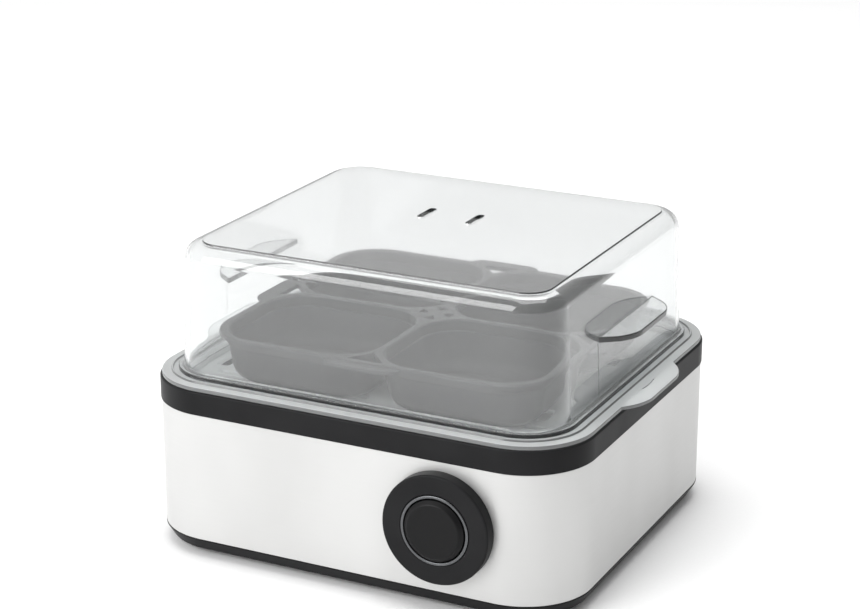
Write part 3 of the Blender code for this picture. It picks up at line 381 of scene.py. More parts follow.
def add_grain(material, size_mm, stretch=(1, 1, 1), detail=2, gloss=None, tones=None, relief=None):
    """A grain about size_mm across, on the piece's own coordinates, and what it does to the
    finish: roughness between two values, colour between two tones, and relief as its height
    in millimetres and its strength."""
    tree = material.node_tree
    shader = tree.nodes["Principled BSDF"]
    coords = add(tree, "ShaderNodeTexCoord")
    mapping = add(
        tree, "ShaderNodeMapping", {"Scale": stretch}, {"Vector": coords.outputs["Object"]}
    )
    noise = add(
        tree,
        "ShaderNodeTexNoise",
        {"Scale": MM_PER_M / size_mm, "Detail": detail, "Roughness": 0.5},
        {"Vector": mapping.outputs["Vector"]},
    )
    grain = noise.outputs["Fac"]
    low, high = GRAIN_SPREAD
    if gloss:
        spread = add(
            tree,
            "ShaderNodeMapRange",
            {"From Min": low, "From Max": high, "To Min": gloss[0], "To Max": gloss[1]},
            {"Value": grain},
        )
        tree.links.new(spread.outputs["Result"], shader.inputs["Roughness"])
    if tones:
        ramp = add(tree, "ShaderNodeValToRGB", links={"Fac": grain})
        for stop, place, tone in zip(ramp.color_ramp.elements, GRAIN_SPREAD, tones):
            stop.position = place
            stop.color = colour(tone)
        tree.links.new(ramp.outputs["Color"], shader.inputs["Base Color"])
    if relief:
        height_mm, strength = relief
        settings = {"Strength": strength, "Distance": height_mm / MM_PER_M}
        bump = add(tree, "ShaderNodeBump", settings, {"Height": grain})
        tree.links.new(bump.outputs["Normal"], shader.inputs["Normal"])


def satin_stainless_sheet():
    """Stainless sheet with a fine satin brush along the band: pale, with soft level streaks.
    Real brush lines stand 0.05 mm apart and are drawn at 0.35 mm so that they show."""
    steel = new_material("satin_stainless_sheet", "#C9C9C8", 0.42, Metallic=0.6)
    along = (0.012, 0.012, 1)
    add_grain(steel, 0.35, stretch=along, detail=3, gloss=(0.36, 0.46), relief=(0.012, 0.5))
    add_grain(steel, 60, stretch=(1, 1, 0.4), tones=("#C5C5C4", "#CECECD"))
    return steel


def moulded_black_abs():
    """ABS moulded in an eroded tool: near black with a fine even grain of about 0.25 mm."""
    abs_black = new_material(
        "moulded_black_abs", "#1F1F20", 0.5, IOR=ABS_IOR, Specular_IOR_Level=0.08
    )
    add_grain(abs_black, 0.25, relief=(0.02, 0.6))
    add_grain(abs_black, 25, gloss=(0.38, 0.47), tones=("#1D1D1E", "#222223"))
    return abs_black


def polished_black_button():
    """The button's cap: the same plastic, smoother and deeper than the collar round it."""
    cap = new_material(
        "polished_black_button", "#101011", 0.36, IOR=ABS_IOR, Specular_IOR_Level=0.15
    )
    add_grain(cap, 0.3, gloss=(0.32, 0.42), relief=(0.01, 0.4))
    return cap


def smooth_black(name, base, sheen):
    """The smooth inside of the housing, polished in the tool so that it wipes clean. Its base tone
    is given per use; the near-black well walls carry painted shade.
    """
    well = new_material(name, base, 0.35, IOR=ABS_IOR, Specular_IOR_Level=sheen)
    add_grain(well, 12, gloss=(0.16, 0.28), relief=(0.05, 0.15))
    return well


def clear_plastic(name, tint, veil, wave_mm, density):
    """Injection-moulded SAN: clear, with a thin milky veil and the faint waves of its flow.
    It darkens with depth, so that its edges and corners draw themselves in grey, and lamps
    pass through it, so that what it covers is lit. A grey tint, as the edge copies are given,
    is painted shade on the edges."""
    clear = new_material(name, tint, 0.02, IOR=1.57, Transmission_Weight=1.0)
    add_grain(clear, wave_mm, detail=1, relief=(0.02, 0.25))
    tree = clear.node_tree
    gloss = tree.nodes["Principled BSDF"].outputs[0]
    milk = colour("#FAFBFB")
    haze = add(tree, "ShaderNodeBsdfTranslucent", {"Color": milk}).outputs[0]
    white = add(tree, "ShaderNodeBsdfDiffuse", {"Color": milk, "Roughness": 0.5}).outputs[0]
    cloudy = add(tree, "ShaderNodeMixShader", {"Fac": 0.5}, {1: haze, 2: white}).outputs[0]
    body = add(tree, "ShaderNodeMixShader", {"Fac": veil}, {1: gloss, 2: cloudy}).outputs[0]
    path = add(tree, "ShaderNodeLightPath").outputs["Is Shadow Ray"]
    open_air = add(tree, "ShaderNodeBsdfTransparent", {"Color": colour("#E8EAEA")}).outputs[0]
    lit = add(tree, "ShaderNodeMixShader", links={"Fac": path, 1: body, 2: open_air})
    smoke = {"Color": colour("#7C7E80"), "Density": density}
    depth = add(tree, "ShaderNodeVolumeAbsorption", smoke)
    output = tree.nodes["Material Output"]
    tree.links.new(lit.outputs[0], output.inputs["Surface"])
    tree.links.new(depth.outputs[0], output.inputs["Volume"])
    return clear


def black_nonstick(name, low_tone, high_tone, sheen):
    """Sprayed and baked non-stick on the poaching tray: black with a faint orange peel."""
    coat = new_material(name, low_tone, 0.4, IOR=1.5, Specular_IOR_Level=sheen)
    add_grain(coat, 1.1, gloss=(0.36, 0.46), relief=(0.03, 0.4))
    add_grain(coat, 0.3, detail=1, tones=(low_tone, high_tone))
    return coat


def spun_plate(name, base, roughness, metal):
    """Stainless plate faced on a lathe: fine rings about its middle, drawn 0.5 mm apart."""
    plate = new_material(name, base, roughness, Metallic=metal)
    add_grain(plate, 18, gloss=(roughness - 0.05, roughness + 0.06))
    tree = plate.node_tree
    coords = add(tree, "ShaderNodeTexCoord")
    rings = add(
        tree,
        "ShaderNodeTexWave",
        {
            "wave_type": "RINGS",
            "rings_direction": "Z",
            "Scale": MM_PER_M / 0.5 / 20,
            "Distortion": 1.5,
            "Detail": 2.0,
            "Detail Scale": 4.0,
        },
        {"Vector": coords.outputs["Object"]},
    )
    settings = {"Strength": 0.35, "Distance": 0.01 / MM_PER_M}
    turned = add(tree, "ShaderNodeBump", settings, {"Height": rings.outputs["Fac"]})
    tree.links.new(turned.outputs["Normal"], tree.nodes["Principled BSDF"].inputs["Normal"])
    return plate


def smoked_silver_ring():
    """The light pipe round the button: smoked silver, smooth and a little cloudy."""
    silver = new_material("smoked_silver_ring", "#5E5F61", 0.25, Metallic=0.9)
    add_grain(silver, 3, gloss=(0.18, 0.28))
    return silver


def soft_rubber(name, base):
    """Moulded rubber: matt, with a fine pitted grain of about 0.4 mm."""
    rubber = new_material(name, base, 0.8, IOR=1.45)
    add_grain(rubber, 0.4, detail=3, gloss=(0.72, 0.9), relief=(0.03, 0.5))
    return rubber


def worked_metal(name, base, roughness, grain_mm, stretch=(1, 1, 1)):
    """Bare or plated metal with its rolling or plating grain."""
    metal = new_material(name, base, roughness, Metallic=1.0)
    gloss = (roughness - 0.07, roughness + 0.1)
    add_grain(metal, grain_mm, stretch=stretch, detail=3, gloss=gloss, relief=(0.01, 0.5))
    return metal


def fired_ceramic():
    """Steatite: pale cream, fired unglazed, with a fine dry grain."""
    ceramic = new_material("fired_ceramic", "#E4DECF", 0.6)
    add_grain(ceramic, 0.5, detail=4, tones=("#DAD3C2", "#EBE6D9"), relief=(0.02, 0.5))
    return ceramic


def wire_pvc(name, base):
    """Extruded PVC insulation, smooth with a soft sheen."""
    pvc = new_material(name, base, 0.4, IOR=1.53)
    add_grain(pvc, 4, gloss=(0.34, 0.48))
    return pvc


def circuit_board():
    """Green solder mask over glass-fibre board, its weave just showing."""
    board = new_material("circuit_board", "#1E5A34", 0.35)
    add_grain(board, 0.8, detail=1, tones=("#1A5230", "#246A3E"))
    return board


def pale_studio_floor():
    """Matt white paper sweep."""
    paper = new_material("pale_studio_floor", "#FBFBFB", 0.9)
    add_grain(paper, 2, detail=3, tones=("#FAFAFA", "#FCFCFC"))
    return paper


STEEL = satin_stainless_sheet()
ABS = moulded_black_abs()
BUTTON = polished_black_button()
# The well walls: near black, painted shade; the floor keeps a lighter tone of the same plastic
WELL_WALL_SHADE = smooth_black("well_wall_painted_shade", "#040404", sheen=0.03)
WELL_FLOOR = smooth_black("smooth_well_floor", "#1A1A1B", sheen=0.12)
LID_CLEAR = clear_plastic("clear_san_lid", "#FCFDFD", veil=0.07, wave_mm=30, density=18)
# The lid's edge finish: the same clear plastic tinted grey, painted shade along the edges
LID_EDGE_SHADE = clear_plastic("san_lid_edge_painted_shade", "#77797B", veil=0.04, wave_mm=30, density=18)
TRAY_CLEAR = clear_plastic("milky_san_tray", "#FCFDFD", veil=0.42, wave_mm=18, density=4)
# The tray's edge finish: the milky plastic tinted grey, painted shade along the edges
TRAY_EDGE_SHADE = clear_plastic("milky_san_edge_painted_shade", "#8E9092", veil=0.20, wave_mm=18, density=4)
NONSTICK = black_nonstick("nonstick_outside", "#1A1A1B", "#1F1F20", sheen=0.3)
# Darker copy of the same coating inside the cups: painted shade in the hollows
CUP_SHADE = black_nonstick("nonstick_cup_painted_shade", "#0A0A0B", "#0D0D0E", sheen=0.12)
PLATE = spun_plate("spun_plate", "#F0F0EF", roughness=0.5, metal=0.1)
PLATE_RING = spun_plate("turned_plate_rim", "#F2F2F1", roughness=0.35, metal=0.4)
SILVER = smoked_silver_ring()
RUBBER = soft_rubber("moulded_black_rubber", "#1B1B1B")
SILICONE = soft_rubber("red_silicone_seal", "#8E3B2E")
ZINC = worked_metal("zinc_plated_steel", "#B9BBBE", roughness=0.3, grain_mm=0.8)
ALUMINIUM = worked_metal(
    "rolled_aluminium", "#C4C6C8", roughness=0.34, grain_mm=0.5, stretch=(0.05, 1, 1)
)
CERAMIC = fired_ceramic()
BOARD = circuit_board()
BROWN_PVC = wire_pvc("brown_pvc", "#5C3A22")
BLUE_PVC = wire_pvc("blue_pvc", "#2B5FA8")
BLACK_PVC = wire_pvc("black_pvc", "#202020")
WHITE_PVC = wire_pvc("white_pvc", "#DADADA")


# Body


def box_size(node):
    """A node's lowest and highest corners, and its size."""
    low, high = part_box(node)
    return low, high, high - low


def make_steel_wrap():
    low, high, size = box_size("steel_jacket")
    wrap = start_outline("steel_wrap", size.x, size.y, BODY_CORNER - JACKET_INSET, low.z)
    edge = 0.00015
    carry([(0, size.z - edge)] + bend(edge, 90, 0, 2) + slope(JACKET_WALL - edge, 0))
    carry_from(wrap, low.z, slope(JACKET_WALL, 0))
    bridge_caps(wrap, low.z, high.z)
    leave_edit(wrap)
    holes = []
    for name, radius, x, y, z in (
        ("switch_hole", BEZEL_NECK + TOUCH_GAP, SWITCH_X, low.y, SWITCH_Z),
        ("cord_hole", GLAND_NECK + TOUCH_GAP, gland_centre().x, high.y, gland_centre().z),
    ):
        hole = start_disc(name, radius, -0.01)
        carry([(0, 0.02)])
        leave_edit(hole)
        stand(hole, (math.radians(90), 0, 0), (x, y, z))
        holes.append(hole)
    combine(wrap, holes, "DIFFERENCE")
    finish_piece(wrap, "base", STEEL, ["steel_jacket"])


def gland_centre():
    low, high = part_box("cord_gland")
    return (low + high) / 2


def make_rim_housing():
    low, high, size = box_size("top_housing")
    jacket_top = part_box("steel_jacket")[1].z
    band_low = jacket_top + TOUCH_GAP
    housing = start_outline("rim_housing", size.x, size.y, BODY_CORNER, band_low)
    lip, inner_lip, wall_foot, ledge_edge, well_corner = 0.0009, 0.0005, 0.0008, 0.0008, 0.0014
    up = [(0, high.z - band_low - lip)] + bend(lip, 90, 0)
    rim = slope(RIM_WALL - lip - inner_lip, 0) + bend(inner_lip, 0, -87)
    wall = slope(0.0004, -(LEDGE_DROP - inner_lip - wall_foot)) + bend(wall_foot, -87, 0)
    ledge = slope(LEDGE_WIDTH - wall_foot - ledge_edge, 0) + bend(ledge_edge, 0, -84)
    well_wall = slope(WELL_TAPER, -(WELL_DEPTH - LEDGE_DROP - ledge_edge - well_corner))
    floor = bend(well_corner, -84, 0, 6)
    carry(up + rim + wall + ledge + well_wall + floor)
    behind = JACKET_INSET + JACKET_WALL + TOUCH_GAP
    under_ledge = high.z - LEDGE_DROP - HOUSING_WALL
    carry_from(housing, band_low, slope(behind, 0) + [(0, -HOUSING_SKIRT)])
    carry(slope(HOUSING_WALL, 0) + [(0, under_ledge - band_low + HOUSING_SKIRT)])
    well_low = high.z - WELL_DEPTH - HOUSING_WALL
    carry(slope(LEDGE_WIDTH - HOUSING_WALL - WELL_TAPER, 0))
    drop = well_low - under_ledge + well_corner
    carry(slope(WELL_TAPER, drop) + bend(well_corner, -84, 0, 6))
    leave_edit(housing)
    posts = []
    for side_x in (-1, 1):
        for side_y in (-1, 1):
            x = side_x * (size.x / 2 - POST_FROM_SIDE)
            y = side_y * (size.y / 2 - POST_FROM_SIDE)
            post = start_disc("post", POST_RADIUS, low.z, (x, y), 32)
            carry([(0, well_low + 0.001 - low.z)])
            posts.append(leave_edit(post))
    combine(housing, posts, "UNION")
    opening = start_disc("plate_opening", PLATE_HOLE, well_low - 0.002)
    carry([(0, HOUSING_WALL + 0.004)])
    combine(housing, [leave_edit(opening)], "DIFFERENCE")
    finish_piece(housing, "base", ABS, ["top_housing"])
    well_top = high.z - LEDGE_DROP - 0.0012
    half_x = size.x / 2 - RIM_WALL - LEDGE_WIDTH + WELL_TAPER
    half_y = half_x - (size.x - size.y) / 2

    # The well's walls take the near-black painted shade, its floor the lighter tone
    def in_well_painted_shade(centre, normal):
        inside = abs(centre.x) < half_x and abs(centre.y) < half_y
        return inside and well_low + 0.001 < centre.z < well_top

    def on_floor(centre, normal):
        return in_well_painted_shade(centre, normal) and normal.z > 0.25

    paint(housing, WELL_WALL_SHADE, in_well_painted_shade)
    paint(housing, WELL_FLOOR, on_floor)


def make_base_pan():
    low, high, size = box_size("bottom_cover")
    rim_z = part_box("steel_jacket")[0].z - TOUCH_GAP
    inset = (BODY_WIDTH - size.x) / 2
    pan = start_outline("base_pan", size.x, size.y, BODY_CORNER - inset, rim_z)
    band, taper, under, floor_wall = 0.0006, 0.0034, 0.0012, 0.0022
    side = [(0, -band)] + slope(taper, -(rim_z - low.z - band - under))
    carry(side + bend(under, -60, 0, 5))
    bottom = cap_level(pan)
    carry_from(pan, rim_z, slope(0.0013, 0) + [(0, high.z - rim_z)] + slope(floor_wall, 0))
    floor_z = bottom + floor_wall
    carry([(0, rim_z - high.z)] + slope(0.0026, floor_z - rim_z))
    leave_edit(pan)
    cutters = []
    for node in CORNERS:
        foot_low, foot_high, foot_size = box_size("foot_" + node)
        centre = ((foot_low + foot_high) / 2).xy
        recess = start_disc("recess", foot_size.x / 2 + TOUCH_GAP, bottom - PROUD, centre, 48)
        carry([(0, PROUD + foot_high.z + TOUCH_GAP - bottom)])
        cutters.append(leave_edit(recess))
        screw_low, screw_high, screw_size = box_size("cover_screw_" + node)
        centre = ((screw_low + screw_high) / 2).xy
        recess = start_disc("screw_well", screw_size.x / 2 + 0.0006, bottom - PROUD, centre, 32)
        carry([(0, 0.02)])
        cutters.append(leave_edit(recess))
    for row in (-1, 1):
        for step in range(-3, 4):
            centre = (step * AIR_SLOT_PITCH, row * AIR_SLOT_ROW)
            size_xy = (AIR_SLOT_WIDTH, AIR_SLOT_LENGTH)
            slot = start_outline("air_slot", *size_xy, 0.0014, -0.01, centre, 6)
            carry([(0, 0.03)])
            cutters.append(leave_edit(slot))
    combine(pan, cutters, "DIFFERENCE")
    finish_piece(pan, "base", ABS, ["bottom_cover"])


def make_feet():
    for node in CORNERS:
        low, high, size = box_size("foot_" + node)
        centre = ((low + high) / 2).xy
        foot = start_disc("rubber_foot_" + node, size.x / 2, high.z, centre, 48)
        edge = 0.0008
        wall = [(0, -(size.z - edge))] + bend(edge, -90, 0)
        carry(wall + slope(0.0016, 0) + slope(0.0004, 0.0004))
        leave_edit(foot)
        finish_piece(foot, "base", RUBBER, ["foot_" + node])


def make_heating_plate():
    low, high, size = box_size("heating_plate")
    seat = high.z - 0.0018
    radius = size.x / 2
    plate = start_disc("heating_disc", radius, seat)
    rim = [(0, 0.0009)] + bend(0.0009, 90, 0, 5) + slope(0.0040, 0)
    down = bend(0.0010, 0, -70) + slope(0.0005, -0.0010) + bend(0.0010, -70, 0)
    carry(rim + down + slope(0.030, 0.0002) + slope(0.020, 0.0001))
    carry_from(plate, seat, slope(radius - PLATE_HOLE + 0.0012, 0) + [(0, low.z - seat)])
    leave_edit(plate)
    finish_piece(plate, "base", PLATE, ["heating_plate"])
    rim_inner = radius - 0.0072
    paint(plate, PLATE_RING, lambda centre, normal: centre.xy.length > rim_inner)


def on_switch_axis(piece):
    """Stands a piece modelled about Z on the front wall, its level 0 on the steel's face."""
    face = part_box("steel_jacket")[0].y
    stand(piece, (math.radians(90), 0, 0), (SWITCH_X, face, SWITCH_Z))


def ring_piece(name, radius, back, front_path, bore_path):
    """A turned ring: a disc at its widest, carried forwards to its bore and opened to the back."""
    ring = start_disc(name, radius, back)
    carry(front_path)
    front = cap_level(ring)
    carry_from(ring, back, bore_path)
    rear = cap_level(ring)
    bridge_caps(ring, rear, front)
    return leave_edit(ring)


def make_switch():
    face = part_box("steel_jacket")[0].y
    bezel_low, bezel_high, bezel_size = box_size("switch_bezel")
    ring_low, ring_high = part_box("light_ring")
    button_low, button_high, button_size = box_size("push_button")
    radius = bezel_size.x / 2
    front = face - bezel_low.y
    ring_radius = (ring_high.x - ring_low.x) / 2
    bore = ring_radius + TOUCH_GAP
    edge, groove = 0.0011, 0.0004
    out = [(0, front - TOUCH_GAP - edge)] + bend(edge, 90, 0, 5)
    across = slope(radius - edge - bore - groove, 0) + bend(groove, 0, -90, 3)
    back_depth = bezel_high.y - face
    neck = slope(radius - BEZEL_NECK, 0) + [(0, -TOUCH_GAP - back_depth)]
    collar = ring_piece(
        "switch_collar", radius, TOUCH_GAP, out + across, neck + slope(BEZEL_NECK - bore, 0)
    )
    on_switch_axis(collar)
    finish_piece(collar, "base", ABS, ["switch_bezel"])

    ring_front = face - ring_low.y
    width = 0.0016
    crown = bend(0.0005, 90, 0, 4) + slope(width - 0.0010, 0) + bend(0.0005, 0, -90, 4)
    glow = ring_piece(
        "light_pipe_ring",
        ring_radius,
        -back_depth,
        [(0, ring_front + back_depth - 0.0005)] + crown,
        slope(width, 0),
    )
    on_switch_axis(glow)
    finish_piece(glow, "base", SILVER, ["light_ring"])

    button_radius = button_size.x / 2
    top = face - button_low.y
    proud, edge = 0.0026, 0.0028
    cap_back = top - 0.0084
    button = start_disc("button_cap", button_radius, cap_back)
    side = [(0, top - proud - cap_back)] + bend(0.0008, 90, 52, 3)
    shoulder = slope(edge * 0.45, proud * 0.42) + bend(0.0016, 52, 0, 5)
    carry(side + shoulder)
    carry([(0.0030, -0.0001), (0.004, -0.0001)])
    stem = slope(button_radius - 0.003, 0) + [(0, (face - button_high.y) - cap_back)]
    carry_from(button, cap_back, stem)
    leave_edit(button)
    on_switch_axis(button)
    finish_piece(button, "button", BUTTON, ["push_button"])


def make_cord_grommet():
    low, high, size = box_size("cord_gland")
    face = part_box("steel_jacket")[1].y
    reach = high.y - face
    radius = size.x / 2
    out = [(0, 0.0016)] + slope(radius - GLAND_BORE - 0.0026, reach - 0.0016 - TOUCH_GAP - 0.0006)
    mouth = bend(0.0006, 60, 0, 4) + slope(0.0010, 0) + bend(0.0006, 0, -90, 4)
    spent = total(out + mouth)[0]
    mouth += [(0, -0.001)]
    neck = slope(radius - GLAND_NECK, 0) + [(0, -(face - low.y) - TOUCH_GAP)]
    grommet = ring_piece(
        "cord_grommet", radius, TOUCH_GAP, out + mouth, neck + slope(GLAND_NECK - radius + spent, 0)
    )
    centre = gland_centre()
    stand(grommet, (math.radians(-90), 0, 0), (centre.x, face, centre.z))
    finish_piece(grommet, "base", ABS, ["cord_gland"])


# Egg tray


def seat_places():
    """The eight egg seats, in two rows of three and one at each side."""
    corner_x, middle_y = SEAT_SIDE_X * SEAT_CORNER_SHARE, SEAT_ROW_Y * SEAT_MIDDLE_SHARE
    rows = [(x, side * SEAT_ROW_Y) for side in (-1, 1) for x in (-corner_x, corner_x)]
    return rows + [(0, -middle_y), (0, middle_y), (-SEAT_SIDE_X, 0), (SEAT_SIDE_X, 0)]


def slot_cutter(width, depth, top, x, y):
    """A through slot with a softened upper edge."""
    soft, corner = 0.0004, 0.0009
    size_xy = (width + 2 * soft, depth + 2 * soft)
    cutter = start_outline("slot", *size_xy, corner + soft, top + PROUD, (x, y), 5)
    carry([(0, -PROUD)] + bend(soft, 0, -90, 3) + [(0, -0.012)])
    return leave_edit(cutter)


def crescent_cutter(side, x, half_length, width, top):
    """The shallow crescent pressed into a tab, its hollow side towards the tray."""
    pieces = []
    cuts = (("crescent", 0, 1.0, MARK_DEPTH), ("hollow", 0.90, 1.35, 2 * MARK_DEPTH))
    for name, shift, grow, height in cuts:
        disc = start_disc(name, half_length * grow, top - height, segments=48)
        squeeze = width / half_length
        bpy.ops.transform.resize(value=(squeeze, 1, 1), center_override=(0, 0, 0))
        bpy.ops.transform.translate(value=(side * (x - shift * width), 0, 0))
        carry([(0, PROUD + height)])
        pieces.append(leave_edit(disc))
    combine(pieces[0], [pieces[1]], "DIFFERENCE")
    return pieces[0]


def make_steam_rack():
    rim_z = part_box("top_housing")[1].z + TOUCH_GAP
    top = rim_z + TRAY_WALL
    floor = top - TRAY_WALL - TRAY_DROP
    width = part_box("top_housing")[1].x * 2 - 0.002
    depth = box_size("egg_tray")[2].y
    rack = start_outline("steam_rack", width, depth, TRAY_CORNER, rim_z)
    edge = 0.0007
    flange = [(0, TRAY_WALL - edge)] + bend(edge, 90, 0) + slope(0.0046 - edge, 0)
    bead = bend(0.0003, 0, 80, 2) + slope(0.0001, 0.0004) + bend(0.0005, 80, -80, 6)
    bead += slope(0.0001, -0.0004) + bend(0.0003, -80, 0, 2)
    bead_in = total(bead)[0]
    recess = TRAY_STEP + TRAY_WALL
    step = slope(recess - 0.0006 - 0.0046 - bead_in - 0.0003, 0) + bend(0.0006, 0, -87)
    step += slope(0.0003, -(top - floor - 0.0006 - 0.0010)) + bend(0.0010, -87, 0)
    carry(flange + bead + step)
    under = slope(TRAY_STEP, 0) + [(0, -(rim_z - floor + TRAY_WALL - 0.0014))]
    carry_from(rack, rim_z, under + bend(0.0014, -90, 0))
    leave_edit(rack)

    tabs = []
    for side in (-1, 1):
        tab = start_tab(
            "tab",
            side,
            inner=width / 2 - 0.003,
            reach=0.012,
            root=0.080,
            tip=0.050,
            corner=0.009,
            z=rim_z + 0.0005,
        )
        carry([(0, TRAY_WALL - 0.0011)] + bend(0.0005, 90, 0, 3))
        carry_from(tab, rim_z + 0.0005, bend(0.0004, -90, 0, 3))
        tabs.append(leave_edit(tab))
    combine(rack, tabs, "UNION")

    dishes, hollows, slots = [], [], []
    for x, y in seat_places():
        dish = start_disc("dish", SEAT_RADIUS + 0.0010, floor - 0.0010, (x, y), 64)
        carry([(0, -0.0004)] + slope(SEAT_SLOPE, -SEAT_DEPTH - 0.0004) + bend(0.0012, -32, 0, 3))
        dishes.append(leave_edit(dish))
        hollow = start_disc("hollow", SEAT_RADIUS + 0.0007, floor + PROUD, (x, y), 64)
        carry([(0, -PROUD)] + bend(0.0016, 0, -32, 4))
        carry(slope(SEAT_SLOPE - 0.002, -SEAT_DEPTH * 0.82))
        carry(bend(0.0020, -32, 0, 3))
        hollows.append(leave_edit(hollow))
        slit_y = y + (1 if y > 0 else -1) * (SEAT_RADIUS - SLIT_FROM_RIM)
        slit = start_disc("slit", SLIT_HALF_LENGTH, floor + 0.003, (x, slit_y), 32)
        bpy.ops.transform.resize(value=(1, SLIT_SQUEEZE, 1), center_override=(x, slit_y, 0))
        carry([(0, -0.012)])
        slots.append(leave_edit(slit))
    combine(rack, dishes, "UNION")
    combine(rack, hollows, "DIFFERENCE")

    for side in (-1, 1):
        for way in (-1, 1):
            for slot_width, slot_depth, x, y in TRAY_SLOTS:
                slots.append(slot_cutter(slot_width, slot_depth, floor, side * x, way * y))
        mark_x, tab_top = width / 2 - 0.0005, top - 0.0001
        slots.append(crescent_cutter(side, mark_x, half_length=0.008, width=0.002, top=tab_top))
    combine(rack, slots, "DIFFERENCE")
    finish_piece(rack, "egg_tray", TRAY_CLEAR, ["egg_tray"])
    # Upright faces above the rim get the grey edge finish: painted shade on the tray's edges
    paint(rack, TRAY_EDGE_SHADE, lambda centre, normal: centre.z > rim_z and abs(normal.z) < 0.8)


# Poaching tray


def cup_path(top_drop, height, wall_in):
    """Down the side of a cup: a fine step, a drafted wall and a wide round into the bottom."""
    corner = 0.0095 - wall_in
    path = [(0, -top_drop)] + bend(0.0004, -90, -35, 2) + slope(0.0004, -0.0002)
    path += bend(0.0004, -35, -84, 2)
    used = -total(path)[1]
    path += slope(0.0020, -(height - used - corner * 0.98)) + bend(corner, -84, 0, 8)
    return path


def make_poach_pan():
    low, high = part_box("poaching_tray")
    width = 2 * CUP_WIDTH + CUP_WEB + 2 * CUP_RIM
    depth = 2 * CUP_DEPTH + CUP_WEB + 2 * CUP_RIM
    rim_thick, edge = 0.0024, 0.0009
    rim_low = high.z - rim_thick
    pan = start_outline("poach_pan", width, depth, CUP_CORNER + CUP_RIM, rim_low + 0.0003)
    carry([(0, rim_thick - edge - 0.0003)] + bend(edge, 90, 0, 5))
    carry_from(pan, rim_low + 0.0003, bend(0.0003, -90, 0, 2))
    leave_edit(pan)
    tabs = []
    for side in (-1, 1):
        for half, along_y in ((width / 2, False), (depth / 2, True)):
            tab = start_tab(
                "tab",
                side,
                inner=half - 0.003,
                reach=0.010,
                root=0.046,
                tip=0.034,
                corner=0.004,
                z=rim_low + 0.0004,
                along_y=along_y,
            )
            carry([(0, rim_thick - 0.0016)] + bend(0.0007, 90, 0))
            tabs.append(leave_edit(tab))
    combine(pan, tabs, "UNION")

    outers, inners = [], []
    height = high.z - low.z
    for side_x in (-1, 1):
        for side_y in (-1, 1):
            centre = (side_x * (CUP_WIDTH + CUP_WEB) / 2, side_y * (CUP_DEPTH + CUP_WEB) / 2)
            outer_w, outer_d = CUP_WIDTH + 2 * CUP_WALL, CUP_DEPTH + 2 * CUP_WALL
            start = rim_low + 0.0010
            outer = start_outline("cup", outer_w, outer_d, CUP_CORNER + CUP_WALL, start, centre, 14)
            carry(cup_path(0.0045, start - low.z, 0))
            outers.append(leave_edit(outer))
            soft = 0.0012
            inner = start_outline(
                "hollow",
                CUP_WIDTH + 2 * soft,
                CUP_DEPTH + 2 * soft,
                CUP_CORNER + soft,
                high.z + PROUD,
                centre,
                14,
            )
            carry([(0, -PROUD)] + bend(soft, 0, -90, 5))
            carry(cup_path(0.0045, height - soft - CUP_WALL, CUP_WALL))
            inners.append(leave_edit(inner))
    combine(pan, outers, "UNION")
    combine(pan, inners, "DIFFERENCE")

    holes = []
    reaches = ((1, 0, width / 2), (-1, 0, width / 2), (0, 1, depth / 2), (0, -1, depth / 2))
    for side_x, side_y, reach in reaches:
        outer = reach - CUP_RIM + 0.0015
        tip = outer - 0.0115
        holes.append(triangle_cutter(side_x, side_y, outer, tip, half=0.0105, top=high.z))
        holes.append(
            triangle_cutter(side_x, side_y, outer=0.0092, tip=0.0040, half=0.0036, top=high.z)
        )
    combine(pan, holes, "DIFFERENCE")
    finish_piece(pan, "poaching_tray", NONSTICK, ["poaching_tray"])

    # The cups' insides take the darker copy of the coating, painted shade in the hollows
    def in_cup_painted_shade(centre, normal):
        x = abs(abs(centre.x) - (CUP_WIDTH + CUP_WEB) / 2)
        y = abs(abs(centre.y) - (CUP_DEPTH + CUP_WEB) / 2)
        faces_in = normal.z > -0.01 and centre.z < high.z - 0.0010
        return faces_in and x < CUP_WIDTH / 2 + 0.0001 and y < CUP_DEPTH / 2 + 0.0001

    paint(pan, CUP_SHADE, in_cup_painted_shade)


def triangle_cutter(side_x, side_y, outer, tip, half, top):
    """A three-cornered opening whose tip points at the middle."""
    length = outer - tip
    deselect_all()
    bpy.ops.mesh.primitive_circle_add(vertices=3, radius=1, fill_type="NGON", location=(0, 0, 0))
    cutter = bpy.context.object
    edit_all(cutter)
    bpy.ops.transform.translate(value=(0, -1, 0))
    bpy.ops.transform.resize(
        value=(half / math.sin(math.radians(60)), length / 1.5, 1), center_override=(0, 0, 0)
    )
    bpy.ops.transform.translate(value=(0, -tip, 0))
    bpy.ops.mesh.bevel(offset=0.0008, segments=4, affect="VERTICES", clamp_overlap=False)
    bpy.ops.mesh.select_all(action="SELECT")
    bpy.ops.transform.translate(value=(0, 0, top + 0.002))
    carry([(0, -0.016)])
    leave_edit(cutter)
    stand(cutter, (0, 0, math.atan2(side_y, side_x) + math.radians(90)), (0, 0, 0))
    return cutter


# Lid


